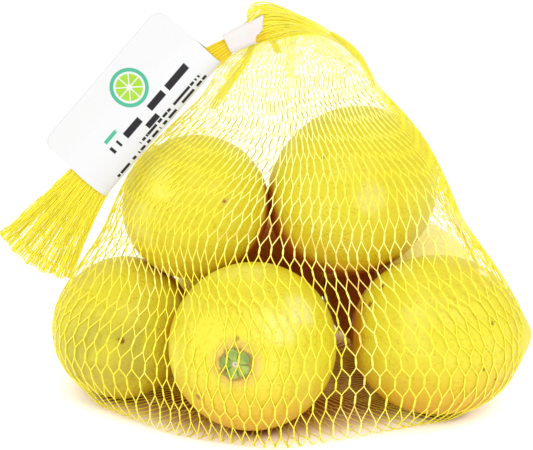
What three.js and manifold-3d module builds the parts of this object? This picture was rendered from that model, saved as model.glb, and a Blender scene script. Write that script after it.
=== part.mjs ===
// A knitted plastic net of small lemons, standing on a table.
// The net is one closed solid: the taut bag with the lemons' bulges, the hood where it is gathered,
// the pinched neck, and the flattened tail that hangs at the left. A clip holds the neck and a
// folded paper label hangs on it. Units are millimetres, +Z up, and the bag stands on z = 0.
// The dimensions below are measured from a point near the front of the pile, and the finished
// pieces are moved by BOX_CENTRE so that the origin lies under the middle of the whole.
import * as THREE from "three";
import { ConvexHull } from "three/addons/math/ConvexHull.js";
import { mergeVertices } from "three/addons/utils/BufferGeometryUtils.js";
import Module from "manifold-3d";

// ---------- driving dimensions ----------

// The lemons that push the net out: centre, half diameter, half length, and the long axis towards
// the blossom end. nipple is how far the tip stands past the half length.
const LEMONS = [
  { at: [-23.7, 20.0, 63.4], radius: 24.0, half: 26.4, axis: [0.42, -0.83, 0.36], nipple: 0 },
  { at: [28.6, 23.5, 67.7], radius: 27.0, half: 29.5, axis: [0.68, 0.45, 0.57], nipple: 1.5 },
  { at: [-48.1, 14.9, 23.0], radius: 23.0, half: 25.5, axis: [-0.02, -0.98, 0.16], nipple: 0 },
  { at: [-4.4, -11.6, 27.0], radius: 27.0, half: 29.0, axis: [0.18, 0.98, -0.09], nipple: 1.5 },
  { at: [55.1, 0.5, 26.2], radius: 26.2, half: 28.2, axis: [1, 0, 0], nipple: 2.5 },
  { at: [49.6, 52.8, 23.8], radius: 23.8, half: 25.3, axis: [0.1, 1, 0], nipple: 1.5 },
  { at: [-5.0, 47.3, 25.0], radius: 25.0, half: 27.0, axis: [0.9, 0.3, 0], nipple: 1.5 },
];
// Rounds of the table that the slack net lies on: under each of the five lower lemons, and one in
// the slack between the two at the front left. x, y.
const SKIRTS = [
  { at: [-43.5, 10.5], radius: 13.0 },
  { at: [-21.5, -8.5], radius: 14.5 },
  { at: [2.5, -10.9], radius: 20.0 },
  { at: [52.0, 0.5], radius: 11.0 },
  { at: [49.6, 52.8], radius: 10.0 },
  { at: [-5.0, 47.3], radius: 12.0 },
];
// The two ends of the ridge under the gather, from which the net spreads as a tent.
const RIDGE = [
  { at: [-11.5, 13, 113.0], radius: 2.4 },
  { at: [23.5, 11.5, 114.1], radius: 4.5 },
];
const BOX_CENTRE = [-0.04, 19.14]; // x, y of the middle of the whole
// The net sinks in between the lemons by this share of its free distance to them: at the sides,
// where it is drawn tight, and at the front and the back.
const SAG = { side: 0.22, face: 0.6 };
const SAG_TOP = 30; // depth under the hood over which the front's and back's sag sets in
const SAG_BLEND = 3; // rounds the change from one nearest lemon to the next
const SAG_FLOOR = 14; // height over which the sag fades out towards the table

const HOOD_BASE = 110; // height at which the hood meets the tent
const TENT_CENTRE = [9, 12]; // x, y inside the net at that height
const FLOOR_CENTRE = [2, 20]; // x, y inside the net on the table
const FLOOR_GATHER = [2, 30]; // where the net's lower end is drawn together
const HOOD_REACH = 12; // how far the strands run on past the neck before they turn down
const HOOD_SWING = 2.5; // how much further on the outer side of the turn than on the inner
const HOOD_LIFT = 6; // how much higher they swing on the outer side
const HOOD_TURN = THREE.MathUtils.degToRad(32); // the inner side lies this far round to the back
const HOOD_DROP = 8.5; // length of the turn above the tent

// The neck, the label and the tail hang in one nearly upright plane. h is measured up that plane.
const HANG_TILT = THREE.MathUtils.degToRad(4);
const HANG_FOOT = -2.75; // y of that plane at the table
// Control points of the neck's curve in that plane, from the gather to the tail's end: x, h.
const NECK_PATH = [
  [-2.2, 126.7],
  [-31.2, 110.6],
  [-54.0, 82.1],
  [-73.6, 53.1],
];
const NECK_HALF = 3.5; // half width of the neck
const PINCH = { at: 0.1, depth: 1.2, reach: 0.05 }; // squeezed by the clip
const TAIL_HALF = 13.8; // half width of the tail at its cut end
const TAIL_POWER = 2.6; // how late the tail widens
const TAIL_BOW = 3.2; // the cut end is bowed
const NECK_THICK = 2.1; // half thickness of the neck
const TAIL_THICK = 1.5; // half thickness of the tail
const PLEATS = 5; // pleats across the tail
const PLEAT_DEPTH = 1.1;

const GAP = 0.35; // between the net and what is on its neck
// The label: the upper end of its fold, the lengths along and across the fold, the radius of its
// free corners, half the thickness of its stuck leaves, and its wall where it wraps the neck.
const LABEL = { x: -13.9, h: 115.7, length: 56.7, width: 26.3, corner: 4.2, half: 0.4, wall: 0.65 };
const LABEL_SLOPE = THREE.MathUtils.degToRad(49.2); // the fold's slope, down to the left
const LABEL_EASE = 6; // how far beyond the neck its leaves come together
// The clip: its lower and upper edges, each from the label's side to the gather's, as x, h.
const CLIP = {
  lower: [[-10.8, 118.5], [-3.4, 121.7]],
  upper: [[-13.6, 124.3], [-0.9, 131.2]],
  wall: 0.7,
};

const AROUND = 76; // points round each loop of the net
const TENT_LEVELS = 25;
const HOOD_LOOPS = 8;
const NECK_LOOPS = 22;
const LEMON_SAMPLES = 500;

const COLOURS = { net: 0xf6e21c, label: 0xf6f5f2, clip: 0xf4eeee };

// ---------- small helpers ----------

const vec = (a) => new THREE.Vector3(...a);
const smooth = (x) => THREE.MathUtils.smoothstep(x, 0, 1);
const lerp = THREE.MathUtils.lerp;

// A point of the hanging plane, moved out towards the front by out.
function hang(x, h, out = 0) {
  const c = Math.cos(HANG_TILT);
  const s = Math.sin(HANG_TILT);
  return new THREE.Vector3(x, HANG_FOOT + h * s - out * c, h * c + out * s);
}

function indexed(positions, index) {
  const geometry = new THREE.BufferGeometry();
  geometry.setAttribute("position", positions);
  geometry.setIndex(index);
  return geometry;
}

// The triangles that close a loop of count points from index first on. Its two sides, j and
// count - j, are joined like the rungs of a ladder, so a thin or folded loop closes too.
function ladder(first, count, flip) {
  const index = [];
  const add = (a, b, c) => index.push(first + a, first + (flip ? c : b), first + (flip ? b : c));
  for (let j = 0; j + 1 <= count - j - 1; j++) {
    const far = count - j - 1;
    if (j + 1 !== far) add(j, j + 1, far);
    if (j !== 0) add(j, far, far + 1);
  }
  return index;
}

// The triangles of a fan from the loop's points to the point with index tip.
function fan(first, count, tip) {
  const next = (j) => first + ((j + 1) % count);
  return Array.from({ length: count }, (_, j) => [first + j, tip, next(j)]).flat();
}

// A closed geometry from a list of loops with the same number of points. The last loop is closed
// by a fan to tip where one is given.
function loft(loops, tip) {
  const count = loops[0].length;
  const points = loops.flat();
  const last = points.length - count;
  const index = ladder(0, count, false);
  for (let a = 0; a < last; a++) {
    const b = a % count === count - 1 ? a + 1 - count : a + 1;
    index.push(a, a + count, b, b, a + count, b + count);
  }
  index.push(...(tip ? fan(last, count, points.push(tip) - 1) : ladder(last, count, true)));
  return indexed(new THREE.Float32BufferAttribute(points.flatMap((p) => p.toArray()), 3), index);
}

// ---------- the bag ----------

// Directions spread evenly over a sphere, by the golden angle.
function directions(count) {
  const turn = Math.PI * (1 + Math.sqrt(5));
  return Array.from({ length: count }, (_, i) => {
    const z = 1 - (2 * (i + 0.5)) / count;
    const r = Math.sqrt(1 - z * z);
    return new THREE.Vector3(r * Math.cos(turn * i), r * Math.sin(turn * i), z);
  });
}

// The planes of the tight skin round the lemons, the ridge and the rounds on the table.
function skinPlanes() {
  const around = directions(LEMON_SAMPLES);
  const points = [];
  for (const lemon of LEMONS) {
    const centre = vec(lemon.at);
    const axis = vec(lemon.axis).normalize();
    for (const d of around) {
      const along = d.dot(axis);
      const grow = (lemon.half - lemon.radius) * along;
      points.push(centre.clone().addScaledVector(d, lemon.radius).addScaledVector(axis, grow));
    }
    points.push(centre.clone().addScaledVector(axis, lemon.half + lemon.nipple));
  }
  for (const end of RIDGE) {
    for (const d of around) points.push(vec(end.at).addScaledVector(d, end.radius));
  }
  for (const skirt of SKIRTS) {
    const [x, y] = skirt.at;
    for (let i = 0; i < AROUND; i++) {
      const turn = (2 * Math.PI * i) / AROUND;
      const out = new THREE.Vector3(Math.cos(turn), Math.sin(turn), 0);
      points.push(new THREE.Vector3(x, y, 0).addScaledVector(out, skirt.radius));
    }
  }
  return new ConvexHull().setFromPoints(points).faces.map((face) => ({
    normal: face.normal.clone(),
    offset: face.constant,
  }));
}

// Smooth distance from a point to the nearest lemon or ridge end.
function freeDistance(point) {
  let sum = 0;
  for (const item of [...LEMONS, ...RIDGE]) {
    const d = point.clone().sub(vec(item.at));
    const axis = item.axis ? vec(item.axis).normalize() : new THREE.Vector3(0, 0, 1);
    const along = d.dot(axis);
    const across = Math.sqrt(Math.max(d.lengthSq() - along * along, 0));
    const q = Math.hypot(across / item.radius, along / (item.half ?? item.radius));
    sum += Math.exp((-d.length() * (1 - 1 / q)) / SAG_BLEND);
  }
  return Math.max(-SAG_BLEND * Math.log(sum), 0);
}

// One level of the bag: the skin's section at height z, its points spaced evenly along the back
// half, from right to left, and along the front half, from left to right.
function level(planes, z) {
  const rise = z / HOOD_BASE;
  const centre = new THREE.Vector3(
    lerp(FLOOR_CENTRE[0], TENT_CENTRE[0], rise),
    lerp(FLOOR_CENTRE[1], TENT_CENTRE[1], rise),
    z,
  );
  const rim = (turn) => {
    const out = new THREE.Vector3(Math.cos(turn), Math.sin(turn), 0);
    let reach = Infinity;
    for (const { normal, offset } of planes) {
      const facing = normal.dot(out);
      if (facing > 1e-6) reach = Math.min(reach, (offset - normal.dot(centre)) / facing);
    }
    const point = centre.clone().addScaledVector(out, reach);
    const face = Math.sin(turn) ** 2 * smooth((HOOD_BASE - z) / SAG_TOP);
    const share = lerp(SAG.side, SAG.face, face) * smooth(z / SAG_FLOOR);
    const sag = share * freeDistance(point);
    return point.addScaledVector(out, -sag);
  };
  const half = (start) => {
    const fine = Array.from({ length: 121 }, (_, i) => rim(start + (Math.PI * i) / 120));
    const run = [0];
    for (let i = 1; i < fine.length; i++) run.push(run[i - 1] + fine[i].distanceTo(fine[i - 1]));
    return Array.from({ length: AROUND / 2 }, (_, j) => {
      const want = (run.at(-1) * j) / (AROUND / 2);
      const i = Math.max(run.findIndex((r) => r > want) - 1, 0);
      return fine[i].clone().lerp(fine[i + 1], (want - run[i]) / (run[i + 1] - run[i]));
    });
  };
  return [...half(0), ...half(Math.PI)];
}

// ---------- neck and tail ----------

// The neck's path in the hanging plane, from the gather, t = 0, to the tail's cut end, t = 1.
function neckPath(t) {
  const u = 1 - t;
  const weights = [u * u * u, 3 * u * u * t, 3 * u * t * t, t * t * t];
  const slopes = [-u * u, u * u - 2 * u * t, 2 * u * t - t * t, t * t];
  const mix = (w, i) => NECK_PATH.reduce((sum, p, k) => sum + w[k] * p[i], 0);
  const along = new THREE.Vector2(mix(slopes, 0), mix(slopes, 1)).normalize();
  return { x: mix(weights, 0), h: mix(weights, 1), along };
}

// Half width of the neck: even at the top, squeezed by the clip, spread late into the tail.
function neckHalf(t) {
  const spread = Math.max(t - 0.15, 0) / 0.85;
  const pinch = PINCH.depth * Math.exp(-(((t - PINCH.at) / PINCH.reach) ** 2));
  return NECK_HALF - pinch + (TAIL_HALF - NECK_HALF) * spread ** TAIL_POWER;
}

// One loop of the neck. extra widens it for a channel. Pleats shift front and back alike.
function neckLoop(t, extra = 0, count = AROUND) {
  const { x, h, along } = neckPath(t);
  const half = neckHalf(t) + extra;
  const thick = lerp(NECK_THICK, TAIL_THICK, smooth(t)) + extra;
  const fold = PLEAT_DEPTH * smooth((t - 0.7) / 0.25);
  const bow = TAIL_BOW * smooth((t - 0.6) / 0.4);
  return Array.from({ length: count }, (_, j) => {
    const turn = (2 * Math.PI * j) / count;
    const side = Math.cos(turn);
    const out = -thick * Math.sin(turn) + fold * Math.sin(PLEATS * Math.PI * side);
    const push = bow * (1 - side * side);
    const across = side * half;
    return hang(x + along.y * across + along.x * push, h - along.x * across + along.y * push, out);
  });
}

// The hood: each strand runs on past the neck, turns, and comes down on the tent.
function hoodLoops(start, base, below) {
  const { along } = neckPath(0);
  const onward = hang(-along.x, -along.y).sub(hang(0, 0));
  const strand = start.map((p0, j) => {
    const outer = Math.cos((2 * Math.PI * j) / AROUND + HOOD_TURN);
    const reach = HOOD_REACH + HOOD_SWING * outer;
    const down = below[j].clone().sub(base[j]).normalize();
    const p1 = p0.clone().addScaledVector(onward, reach);
    p1.z += HOOD_LIFT * Math.max(outer, 0);
    const p2 = base[j].clone().addScaledVector(down, -HOOD_DROP);
    return new THREE.CubicBezierCurve3(p0, p1, p2, base[j]);
  });
  const loopAt = (share) => strand.map((curve) => curve.getPoint(share));
  return Array.from({ length: HOOD_LOOPS - 1 }, (_, k) => loopAt((k + 1) / HOOD_LOOPS));
}

function netGeometry() {
  const planes = skinPlanes();
  const shares = (count) => Array.from({ length: count }, (_, k) => 1 - k / (count - 1));
  const neck = shares(NECK_LOOPS).map((t) => neckLoop(t));
  const tent = shares(TENT_LEVELS).map((share) => level(planes, HOOD_BASE * share ** 1.15));
  const gather = new THREE.Vector3(...FLOOR_GATHER, 0);
  const inward = (share) => tent.at(-1).map((p) => gather.clone().lerp(p, share));
  const floor = [0.7, 0.35].map(inward);
  const hood = hoodLoops(neck.at(-1), tent[0], tent[1]);
  return loft([...neck, ...hood, ...tent, ...floor], gather);
}

// ---------- what is on the neck ----------

const wasm = await Module();
wasm.setup();

function solid(geometry) {
  const merged = mergeVertices(geometry, 1e-4);
  const mesh = { numProp: 3, vertProperties: merged.attributes.position.array };
  return new wasm.Manifold(new wasm.Mesh({ ...mesh, triVerts: new Uint32Array(merged.index.array) }));
}

function geometryOf(body) {
  const mesh = body.getMesh();
  const positions = new THREE.BufferAttribute(mesh.vertProperties, 3);
  return indexed(positions, new THREE.BufferAttribute(mesh.triVerts, 1));
}

// The channel that the neck takes through a piece, between two places on its path.
function channel(from, to) {
  const loops = Array.from({ length: 13 }, (_, k) => neckLoop(lerp(to, from, k / 12), GAP, 28));
  return solid(loft(loops));
}

// The folded label: two leaves stuck together beyond the neck, and swollen where they wrap it.
function labelGeometry() {
  const down = new THREE.Vector2(-Math.cos(LABEL_SLOPE), -Math.sin(LABEL_SLOPE));
  const aside = new THREE.Vector2(down.y, -down.x);
  const fold = new THREE.Vector2(LABEL.x, LABEL.h);
  const path = Array.from({ length: 101 }, (_, i) => {
    const t = i / 100;
    const { x, h } = neckPath(t);
    const d = new THREE.Vector2(x, h).sub(fold);
    return { t, s: d.dot(down), q: d.dot(aside) };
  });
  const neckAt = (s) => path.reduce((best, p) => (Math.abs(p.s - s) < Math.abs(best.s - s) ? p : best));
  const loopAt = (s) => {
    const { t, q } = neckAt(s);
    const swell = lerp(NECK_THICK, TAIL_THICK, smooth(t)) + GAP + LABEL.wall;
    const edge = Math.min(s, LABEL.length - s);
    const cut = Math.max(LABEL.corner - edge, 0);
    const width = LABEL.width - LABEL.corner + Math.sqrt(LABEL.corner ** 2 - cut ** 2);
    const run = neckHalf(t) + LABEL_EASE;
    const half = (at) => {
      if (at < q) return swell * Math.sqrt(Math.max(1 - ((q - at) / q) ** 2, 0));
      return lerp(LABEL.half, swell, 0.5 + 0.5 * Math.cos(Math.PI * Math.min((at - q) / run, 1)));
    };
    const place = (at, out) => {
      const flat = fold.clone().addScaledVector(down, s).addScaledVector(aside, at);
      return hang(flat.x, flat.y, out);
    };
    const steps = 15;
    const samples = Array.from({ length: steps }, (_, i) => {
      return width * (1 - Math.cos((Math.PI * (i + 1)) / (2 * steps)));
    });
    const front = samples.map((at) => place(at, half(at)));
    const back = samples.map((at) => place(at, -half(at)));
    return [place(0, 0), ...back, ...front.reverse()];
  };
  const stations = Array.from({ length: 13 }, (_, k) => {
    return LABEL.length * 0.5 * (1 - Math.cos((Math.PI * k) / 12));
  });
  const body = solid(loft(stations.map(loopAt)));
  return geometryOf(body.subtract(channel(0.08, 0.92)));
}

// The clip: a flat sleeve, wider towards the gather.
function clipGeometry() {
  const between = ([a, b], share) => new THREE.Vector2(...a).lerp(new THREE.Vector2(...b), share);
  const loops = Array.from({ length: 4 }, (_, k) => {
    const low = between(CLIP.lower, k / 3);
    const high = between(CLIP.upper, k / 3);
    const thick = NECK_THICK + GAP + CLIP.wall;
    return Array.from({ length: 28 }, (_, j) => {
      const turn = (2 * Math.PI * j) / 28;
      const round = (v) => Math.sign(v) * Math.abs(v) ** 0.6;
      const at = low.clone().lerp(high, 0.5 + 0.5 * round(Math.cos(turn)));
      return hang(at.x, at.y, -thick * round(Math.sin(turn)));
    });
  });
  return geometryOf(solid(loft(loops)).subtract(channel(-0.04, 0.2)));
}

// ---------- the assembly ----------

function piece(name, geometry, colour, roughness) {
  geometry.translate(-BOX_CENTRE[0], -BOX_CENTRE[1], 0);
  const material = new THREE.MeshStandardMaterial({ color: colour, roughness, metalness: 0 });
  const mesh = new THREE.Mesh(geometry, material);
  mesh.name = name;
  return mesh;
}

const lemonNet = new THREE.Group();
lemonNet.add(
  piece("net", netGeometry(), COLOURS.net, 0.5),
  piece("label", labelGeometry(), COLOURS.label, 0.6),
  piece("closure_clip", clipGeometry(), COLOURS.clip, 0.4),
);

export default lemonNet;
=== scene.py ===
"""Net of lemons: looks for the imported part, laid out as an add-on and run as a script.

Everything is worked out in millimetres from a point near the front of the pile, as the solids
are, and is moved to the part's frame, in metres, when a mesh is filled.
"""
from collections import namedtuple
from math import cos, pi, radians, sin

import bmesh
import bpy
import numpy as np
from bpy.props import FloatProperty, FloatVectorProperty, IntProperty, PointerProperty
from bpy.types import Operator, Panel, PropertyGroup
from mathutils import Matrix


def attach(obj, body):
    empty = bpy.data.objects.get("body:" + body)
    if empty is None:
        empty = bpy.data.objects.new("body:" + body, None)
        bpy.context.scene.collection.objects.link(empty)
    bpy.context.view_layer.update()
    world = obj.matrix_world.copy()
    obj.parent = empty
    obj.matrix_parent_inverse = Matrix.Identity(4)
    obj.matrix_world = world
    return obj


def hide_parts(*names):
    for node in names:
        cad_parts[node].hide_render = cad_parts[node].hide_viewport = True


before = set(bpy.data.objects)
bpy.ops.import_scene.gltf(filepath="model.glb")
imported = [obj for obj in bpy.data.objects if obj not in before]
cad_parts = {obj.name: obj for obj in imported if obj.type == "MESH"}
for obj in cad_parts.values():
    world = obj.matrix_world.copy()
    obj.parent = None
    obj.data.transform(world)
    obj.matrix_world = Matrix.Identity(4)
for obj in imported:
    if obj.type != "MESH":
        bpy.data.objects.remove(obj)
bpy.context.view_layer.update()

bl_info = {
    "name": "Net of lemons",
    "version": (1, 0, 0),
    "blender": (4, 5, 0),
    "location": "View3D > Sidebar > Lemon net",
    "description": "Builds small lemons in a knitted net with its label, clip and stage",
    "category": "Add Mesh",
}

MM = 0.001
BOX_CENTRE = np.array([-0.04, 19.14, 0.0])  # the frame's origin, in the millimetres used here

# Lemons: axis is the direction of the blossom end, half the half length without the tip, nipple
# the tip's height, and unripe how green the peel is.
Lemon = namedtuple("Lemon", "name centre radius half axis nipple unripe")
LEMONS = (
    Lemon("lemon_top_left", (-23.2, 20.0, 63.4), 24.0, 26.4, (0.42, -0.83, 0.36), 0.0, 0.0),
    Lemon("lemon_top_right", (28.1, 23.5, 67.7), 27.0, 29.5, (-0.68, -0.45, -0.57), 0.8, 0.0),
    Lemon("lemon_low_left", (-47.3, 14.9, 23.5), 23.1, 25.5, (-0.15, -0.95, -0.15), 0.0, 0.8),
    Lemon("lemon_low_front", (-4.4, -11.6, 27.0), 27.0, 29.0, (0.18, 0.97, -0.17), 1.5, 0.0),
    Lemon("lemon_low_right", (55.1, 0.5, 26.2), 26.2, 28.2, (1.0, 0.0, 0.0), 2.5, 0.0),
    Lemon("lemon_back_right", (46.2, 52.8, 24.1), 24.1, 27.4, (1.0, 0.1, 0.0), 1.2, 0.1),
    Lemon("lemon_back_left", (-5.6, 48.0, 25.6), 24.3, 27.2, (0.72, 0.35, 0.60), 1.0, 0.35),
)
LEMON_SEED, BUTTON_SEED = 40, 60  # of the first lemon's lumps and the first stem button
LOW_CENTRE = 40.0  # lemons with a lower centre lie on the table
# Marks on the lemons: centre, radius, strength, and the name of the colour in the settings.
# Marks and halos are the peel's own. Spots in the colour of crowded places are painted shade, pale
# spots of highlight are painted highlights, the one on the low right lemon over a pale scar, and the
# far lemon's large pale spot is painted light.
MARKS = {
    "lemon_top_left": (
        ((-13.2, -2.5, 72.3), 0.75, 1.0, "mark"),
        ((-13.2, -2.5, 72.3), 1.6, 0.4, "halo")),
    "lemon_top_right": (
        ((17.9, 5.1, 84.7), 0.9, 0.6, "mark"),
        ((33.0, -2.0, 73.0), 6.0, 0.25, "painted_highlight")),
    "lemon_low_left": (
        ((-27.0, 2.0, 25.0), 10.0, 0.6, "crevice_shade"),
        ((-46.3, -9.4, 28.0), 1.3, 1.0, "mark"),
        ((-45.0, -9.5, 20.0), 3.0, 0.1, "halo")),
    "lemon_low_front": (
        ((-21.2, -32.4, 17.9), 1.5, 0.7, "mark"),
        ((-22.8, -30.4, 20.5), 0.9, 0.6, "mark"),
        ((10.6, -26.2, 44.7), 6.5, 0.32, "painted_highlight"),
        ((4.7, -34.2, 41.1), 5.5, 0.22, "painted_highlight"),
        ((-9.0, -37.0, 39.5), 1.0, 0.5, "mark")),
    "lemon_low_right": (
        ((27.5, -4.5, 29.0), 10.0, 0.7, "crevice_shade"),
        ((36.4, -5.2, 45.0), 1.3, 0.9, "mark"),
        ((30.4, -3.8, 38.0), 1.9, 1.0, "mark"),
        ((32.6, -7.5, 39.7), 1.3, 0.8, "mark"),
        ((68.9, -2.4, 48.5), 2.4, 0.75, "painted_highlight"),
        ((71.5, -6.0, 46.0), 1.2, 0.6, "halo"),
        ((70.9, -18.1, 37.3), 0.9, 0.7, "mark"),
        ((68.4, -22.4, 23.2), 0.9, 0.7, "mark"),
        ((85.2, -0.6, 25.2), 1.3, 0.8, "mark"),
        ((72.5, -18.6, 18.3), 0.8, 0.7, "mark")),
    "lemon_back_right": (
        ((59.0, 42.0, 42.0), 24.0, 0.9, "painted_haze"),
        ((60.0, 70.0, 35.0), 1.0, 0.6, "mark"),
        ((55.0, 74.0, 20.0), 4.0, 0.4, "painted_highlight")),
    "lemon_back_left": (
        ((-12.0, 70.0, 34.0), 0.9, 0.7, "mark"),),
}

# The bag's tight skin: rounds of the table under the slack net, as x, y and radius, and the ends of
# the ridge under the gather, as x, y, z and radius.
SKIRTS = ((-43.5, 10.5, 13.0), (-21.5, -8.5, 14.5), (2.5, -10.9, 20.0), (52.0, 0.5, 11.0),
          (49.6, 52.8, 10.0), (-2.5, 47.3, 12.0))
RIDGE = ((-11.5, 13.0, 113.0, 2.4), (26.3, 11.5, 113.6, 4.5))
# Points of the skin on a lemon and on a round, and points of one level of the bag.
BALL_POINTS, ROUND_POINTS, RIM_POINTS = 500, 76, 960
# The net sinks in by this share of its free distance: at the sides, and at the front and the back.
SAG_SIDE, SAG_FACE = 0.24, 0.32
# Heights over which the sag comes in at the table and the front's share goes at the hood, and how
# softly the distances to several lemons blend.
SAG_FLOOR, SAG_TOP, SAG_BLEND = 14.0, 30.0, 3.0
# Middles of the levels under the hood and at the table, and where the net is gathered below.
TENT_CENTRE, FLOOR_CENTRE, FLOOR_GATHER = (9.0, 12.0), (2.0, 20.0), (2.0, 30.0)
# Levels of the net's surface: round the bag, under it as shares of the way out, over the hood, and
# along the neck.
BAG_LEVELS, BAG_POWER, HOOD_LEVELS, NECK_LEVELS = 64, 1.1, 24, 64
GATHER_FROM, GATHER_TO, GATHER_LEVELS = 0.04, 0.97, 14

# The hood's start, and how far below it the bag's slope is taken.
HOOD_BASE, HOOD_UNDER = 110.0, 3.0
# The hood's lines: how far they run on from the neck, how much further and higher on the outer
# side, which way that side lies, and how far up the bag's slope they turn.
HOOD_REACH, HOOD_SWING, HOOD_LIFT, HOOD_TURN, HOOD_DROP = 12.0, 1.5, 1.9, radians(32), 8.5
# Pleats of the hood, as columns drawn together: middle, reach and strength, in shares of a turn.
PLEATS_OF_HOOD = ((0.985, 0.030, 1.4), (0.545, 0.010, 3.4), (0.725, 0.006, 2.2), (0.10, 0.02, 1.6),
                  (0.27, 0.012, 2.0), (0.41, 0.015, 1.6), (0.635, 0.006, 1.0), (0.86, 0.008, 1.2))
# Folds of the hood: strands, thickness, and the Bezier points of both edges in the hanging plane.
FOLDS = ((95, 0.9, ((-6.0, 129.8), (-5.4, 146.0), (31.0, 115.8), (31.4, 113.0)),
          ((-4.0, 121.2), (13.9, 122.9), (16.5, 131.0), (30.4, 112.6))),
         (14, 0.3, ((20.0, 124.9), (28.0, 120.8), (31.6, 115.8), (34.7, 105.6)),
          ((20.0, 123.9), (26.5, 119.5), (29.6, 114.4), (34.0, 105.4))),
         (24, 0.4, ((-3.6, 120.8), (-5.4, 111.4), (-10.2, 110.4), (-15.6, 99.6)),
          ((-5.2, 120.4), (-8.0, 111.2), (-12.8, 110.2), (-18.4, 99.6))),
         (16, 0.3, ((3.0, 121.9), (3.4, 120.6), (3.9, 119.3), (4.9, 117.6)),
          ((0.9, 121.9), (1.4, 120.6), (2.1, 119.3), (3.0, 117.0))))
# Points of a fold's strand, its wave across, and how deep its end sinks into the net.
FOLD_STEPS, FOLD_WAVE, FOLD_SUNK = 40, 0.05, 0.8
# Folds lie on these lines of the net's surface below and above the hood's start, where it faces
# forward by more than this. Its places are read with this blur.
FOLD_BELOW, FOLD_ABOVE, FOLD_FRONT, FOLD_BLUR = 130, 34, -0.15, 0.9

# The plane in which the neck, the label and the clip hang: its lean, and its foot.
HANG_TILT, HANG_FOOT = radians(4), -2.75
# The neck's middle line in that plane, as Bezier points, its half width, and the clip's squeeze.
NECK_PATH = np.array([[-2.2, 126.7], [-31.2, 110.6], [-54.0, 82.1], [-73.6, 53.1]])
NECK_HALF, PINCH_AT, PINCH_DEPTH, PINCH_REACH = 3.5, 0.1, 1.2, 0.05
# Where the tail starts to spread along the neck, its half width, how late it spreads, and its bow.
TAIL_FROM, TAIL_HALF, TAIL_POWER, TAIL_BOW = 0.15, 13.8, 2.6, 3.2
NECK_THICK, TAIL_THICK, PLEATS, PLEAT_DEPTH = 2.1, 1.5, 5, 1.1
BUNCHES, BUNCH_PULL, BUNCH_LAG = 7, 0.017, 0.9  # bunches of strands across the tail

COLUMNS = 320  # columns of the net's surface
FINE = 8  # lines of the net's surface from one row of knots to the next
EVEN_PULL = 0.2  # how much the columns' gaps even out from one level to the next
EVEN_ROWS = 0.5  # how much the rows' pitch evens out round one level
LEAST_GAP, LEAST_PITCH = 0.03, 3.0  # between columns, and between rows of knots
SOFT_GAPS, SOFT_ROWS, SOFT_WIDTH = 4, 6, 1.0  # columns over which each is smoothed
LOW_LONG, LOW_TOP, LOW_REACH = 0.3, 32.0, 26.0  # how much longer cells are towards the table
# Over hollows this deep between the lemons the cells are wider and shorter by these shares.
HOLLOW_DEPTH, HOLLOW_SPREAD, HOLLOW_SHORT = 9.0, 0.42, 0.13

# Knots stray across by single draws and by waves of this weight, and slip along by single draws
# and by waves of these weights. A wave is about this many rows long.
STRAY_WAVE, SLIP_KNOT, SLIP_WAVE, WAVE_ROWS = 3.0, 0.045, 0.22, 30.0
WIDE_KNOT, WIDE_FROM, WIDE_REACH = 0.09, 1.8, 0.8  # knots are longer where cells are wide
SWING_SMOOTH, KNOT_FADE = 0.75, 0.14  # how softly a strand swings across, and a knot's colour ends
CROWD_FROM, CROWD_REACH = 0.45, 2.2  # share of the spacing that crowded strands fill
LAYERS, LAYER_DEPTH = 11, 1.3  # crowded strands lie over each other
TAIL_WIDER = 0.32  # how much wider strands are in the tail
# Painted light: strands this near a lemon are coloured with its yellow light.
NEAR_LEMON = 7.0  # how far from a lemon a strand takes its yellow
# Painted shade: a strand with no lemon behind it at these depths takes the cream of a dark gap.
GAP_DEPTHS = (4.0, 9.0, 14.0, 19.0)  # how far behind a strand lemons are looked for
UNDER_ROWS = 7  # rows of knots under the bag
# Near, gap and shade mark painted light and shade on the strands; knot and crowd are their own.
STRAND_MASKS = ("knot", "crowd", "near", "gap", "shade")
STRAND_COLOURS = ("pale", "yellow", "cream", "glow", "tick", "brown", "amber")

# The label: where its fold starts, its size and corner radius, the fold's slope, half its
# thickness, its swelling over the neck, and how far beyond the neck that ends.
LABEL_AT, LABEL_LENGTH, LABEL_WIDTH, LABEL_CORNER = (-13.9, 115.7), 56.7, 26.3, 4.2
LABEL_SLOPE, LABEL_HALF, LABEL_SWELL, LABEL_EASE = radians(49.2), 0.27, 1.0, 6.0
MOTIF_CENTRE, MOTIF_RING, MOTIF_FRUIT = (25.0, 16.8), (5.0, 6.2), (0.9, 4.3)
# Bars of print: middle and height across, start and end along, how often they break, and ink.
PRINT_BARS = ((7.9, 2.3, 6.0, 44.0, 0.62, "ink"), (4.6, 1.9, 20.0, 33.0, 0.9, "ink"),
              (2.9, 0.9, 7.0, 36.0, 1.9, "ink"), (1.2, 0.9, 5.0, 50.0, 1.4, "ink"),
              (11.2, 1.2, 34.0, 45.0, 0.8, "teal"))
# The clip's low and high side, from its closed end to its mouth, in the hanging plane.
CLIP_LOW = np.array([[-10.8, 118.5], [-3.4, 121.7]])
CLIP_HIGH = np.array([[-13.6, 124.3], [-0.9, 131.2]])
CLIP_STEP, CLIP_PROUD, CLIP_LIP = 2.4, 0.1, 0.25  # its mouth's step, play round the neck, swelling
CLIP_POINTS, CLIP_LOOPS = 64, 25

NODE_STEP = 180  # from one node to the next in the editor
BLACK, WHITE = (0.0, 0.0, 0.0, 1.0), (1.0, 1.0, 1.0, 1.0)
# In metres: the middle of the floor's painted warm shadow under the bag along Y and its half sizes,
# the inner and outer radius of the painted contact shadow under a lemon, and the floor's half size.
SHADOW_MIDDLE, SHADOW_HALF, CONTACT_SHADOW_RADII, FLOOR_REACH = 0.009, (0.068, 0.055), (0.006, 0.0125), 4
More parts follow.
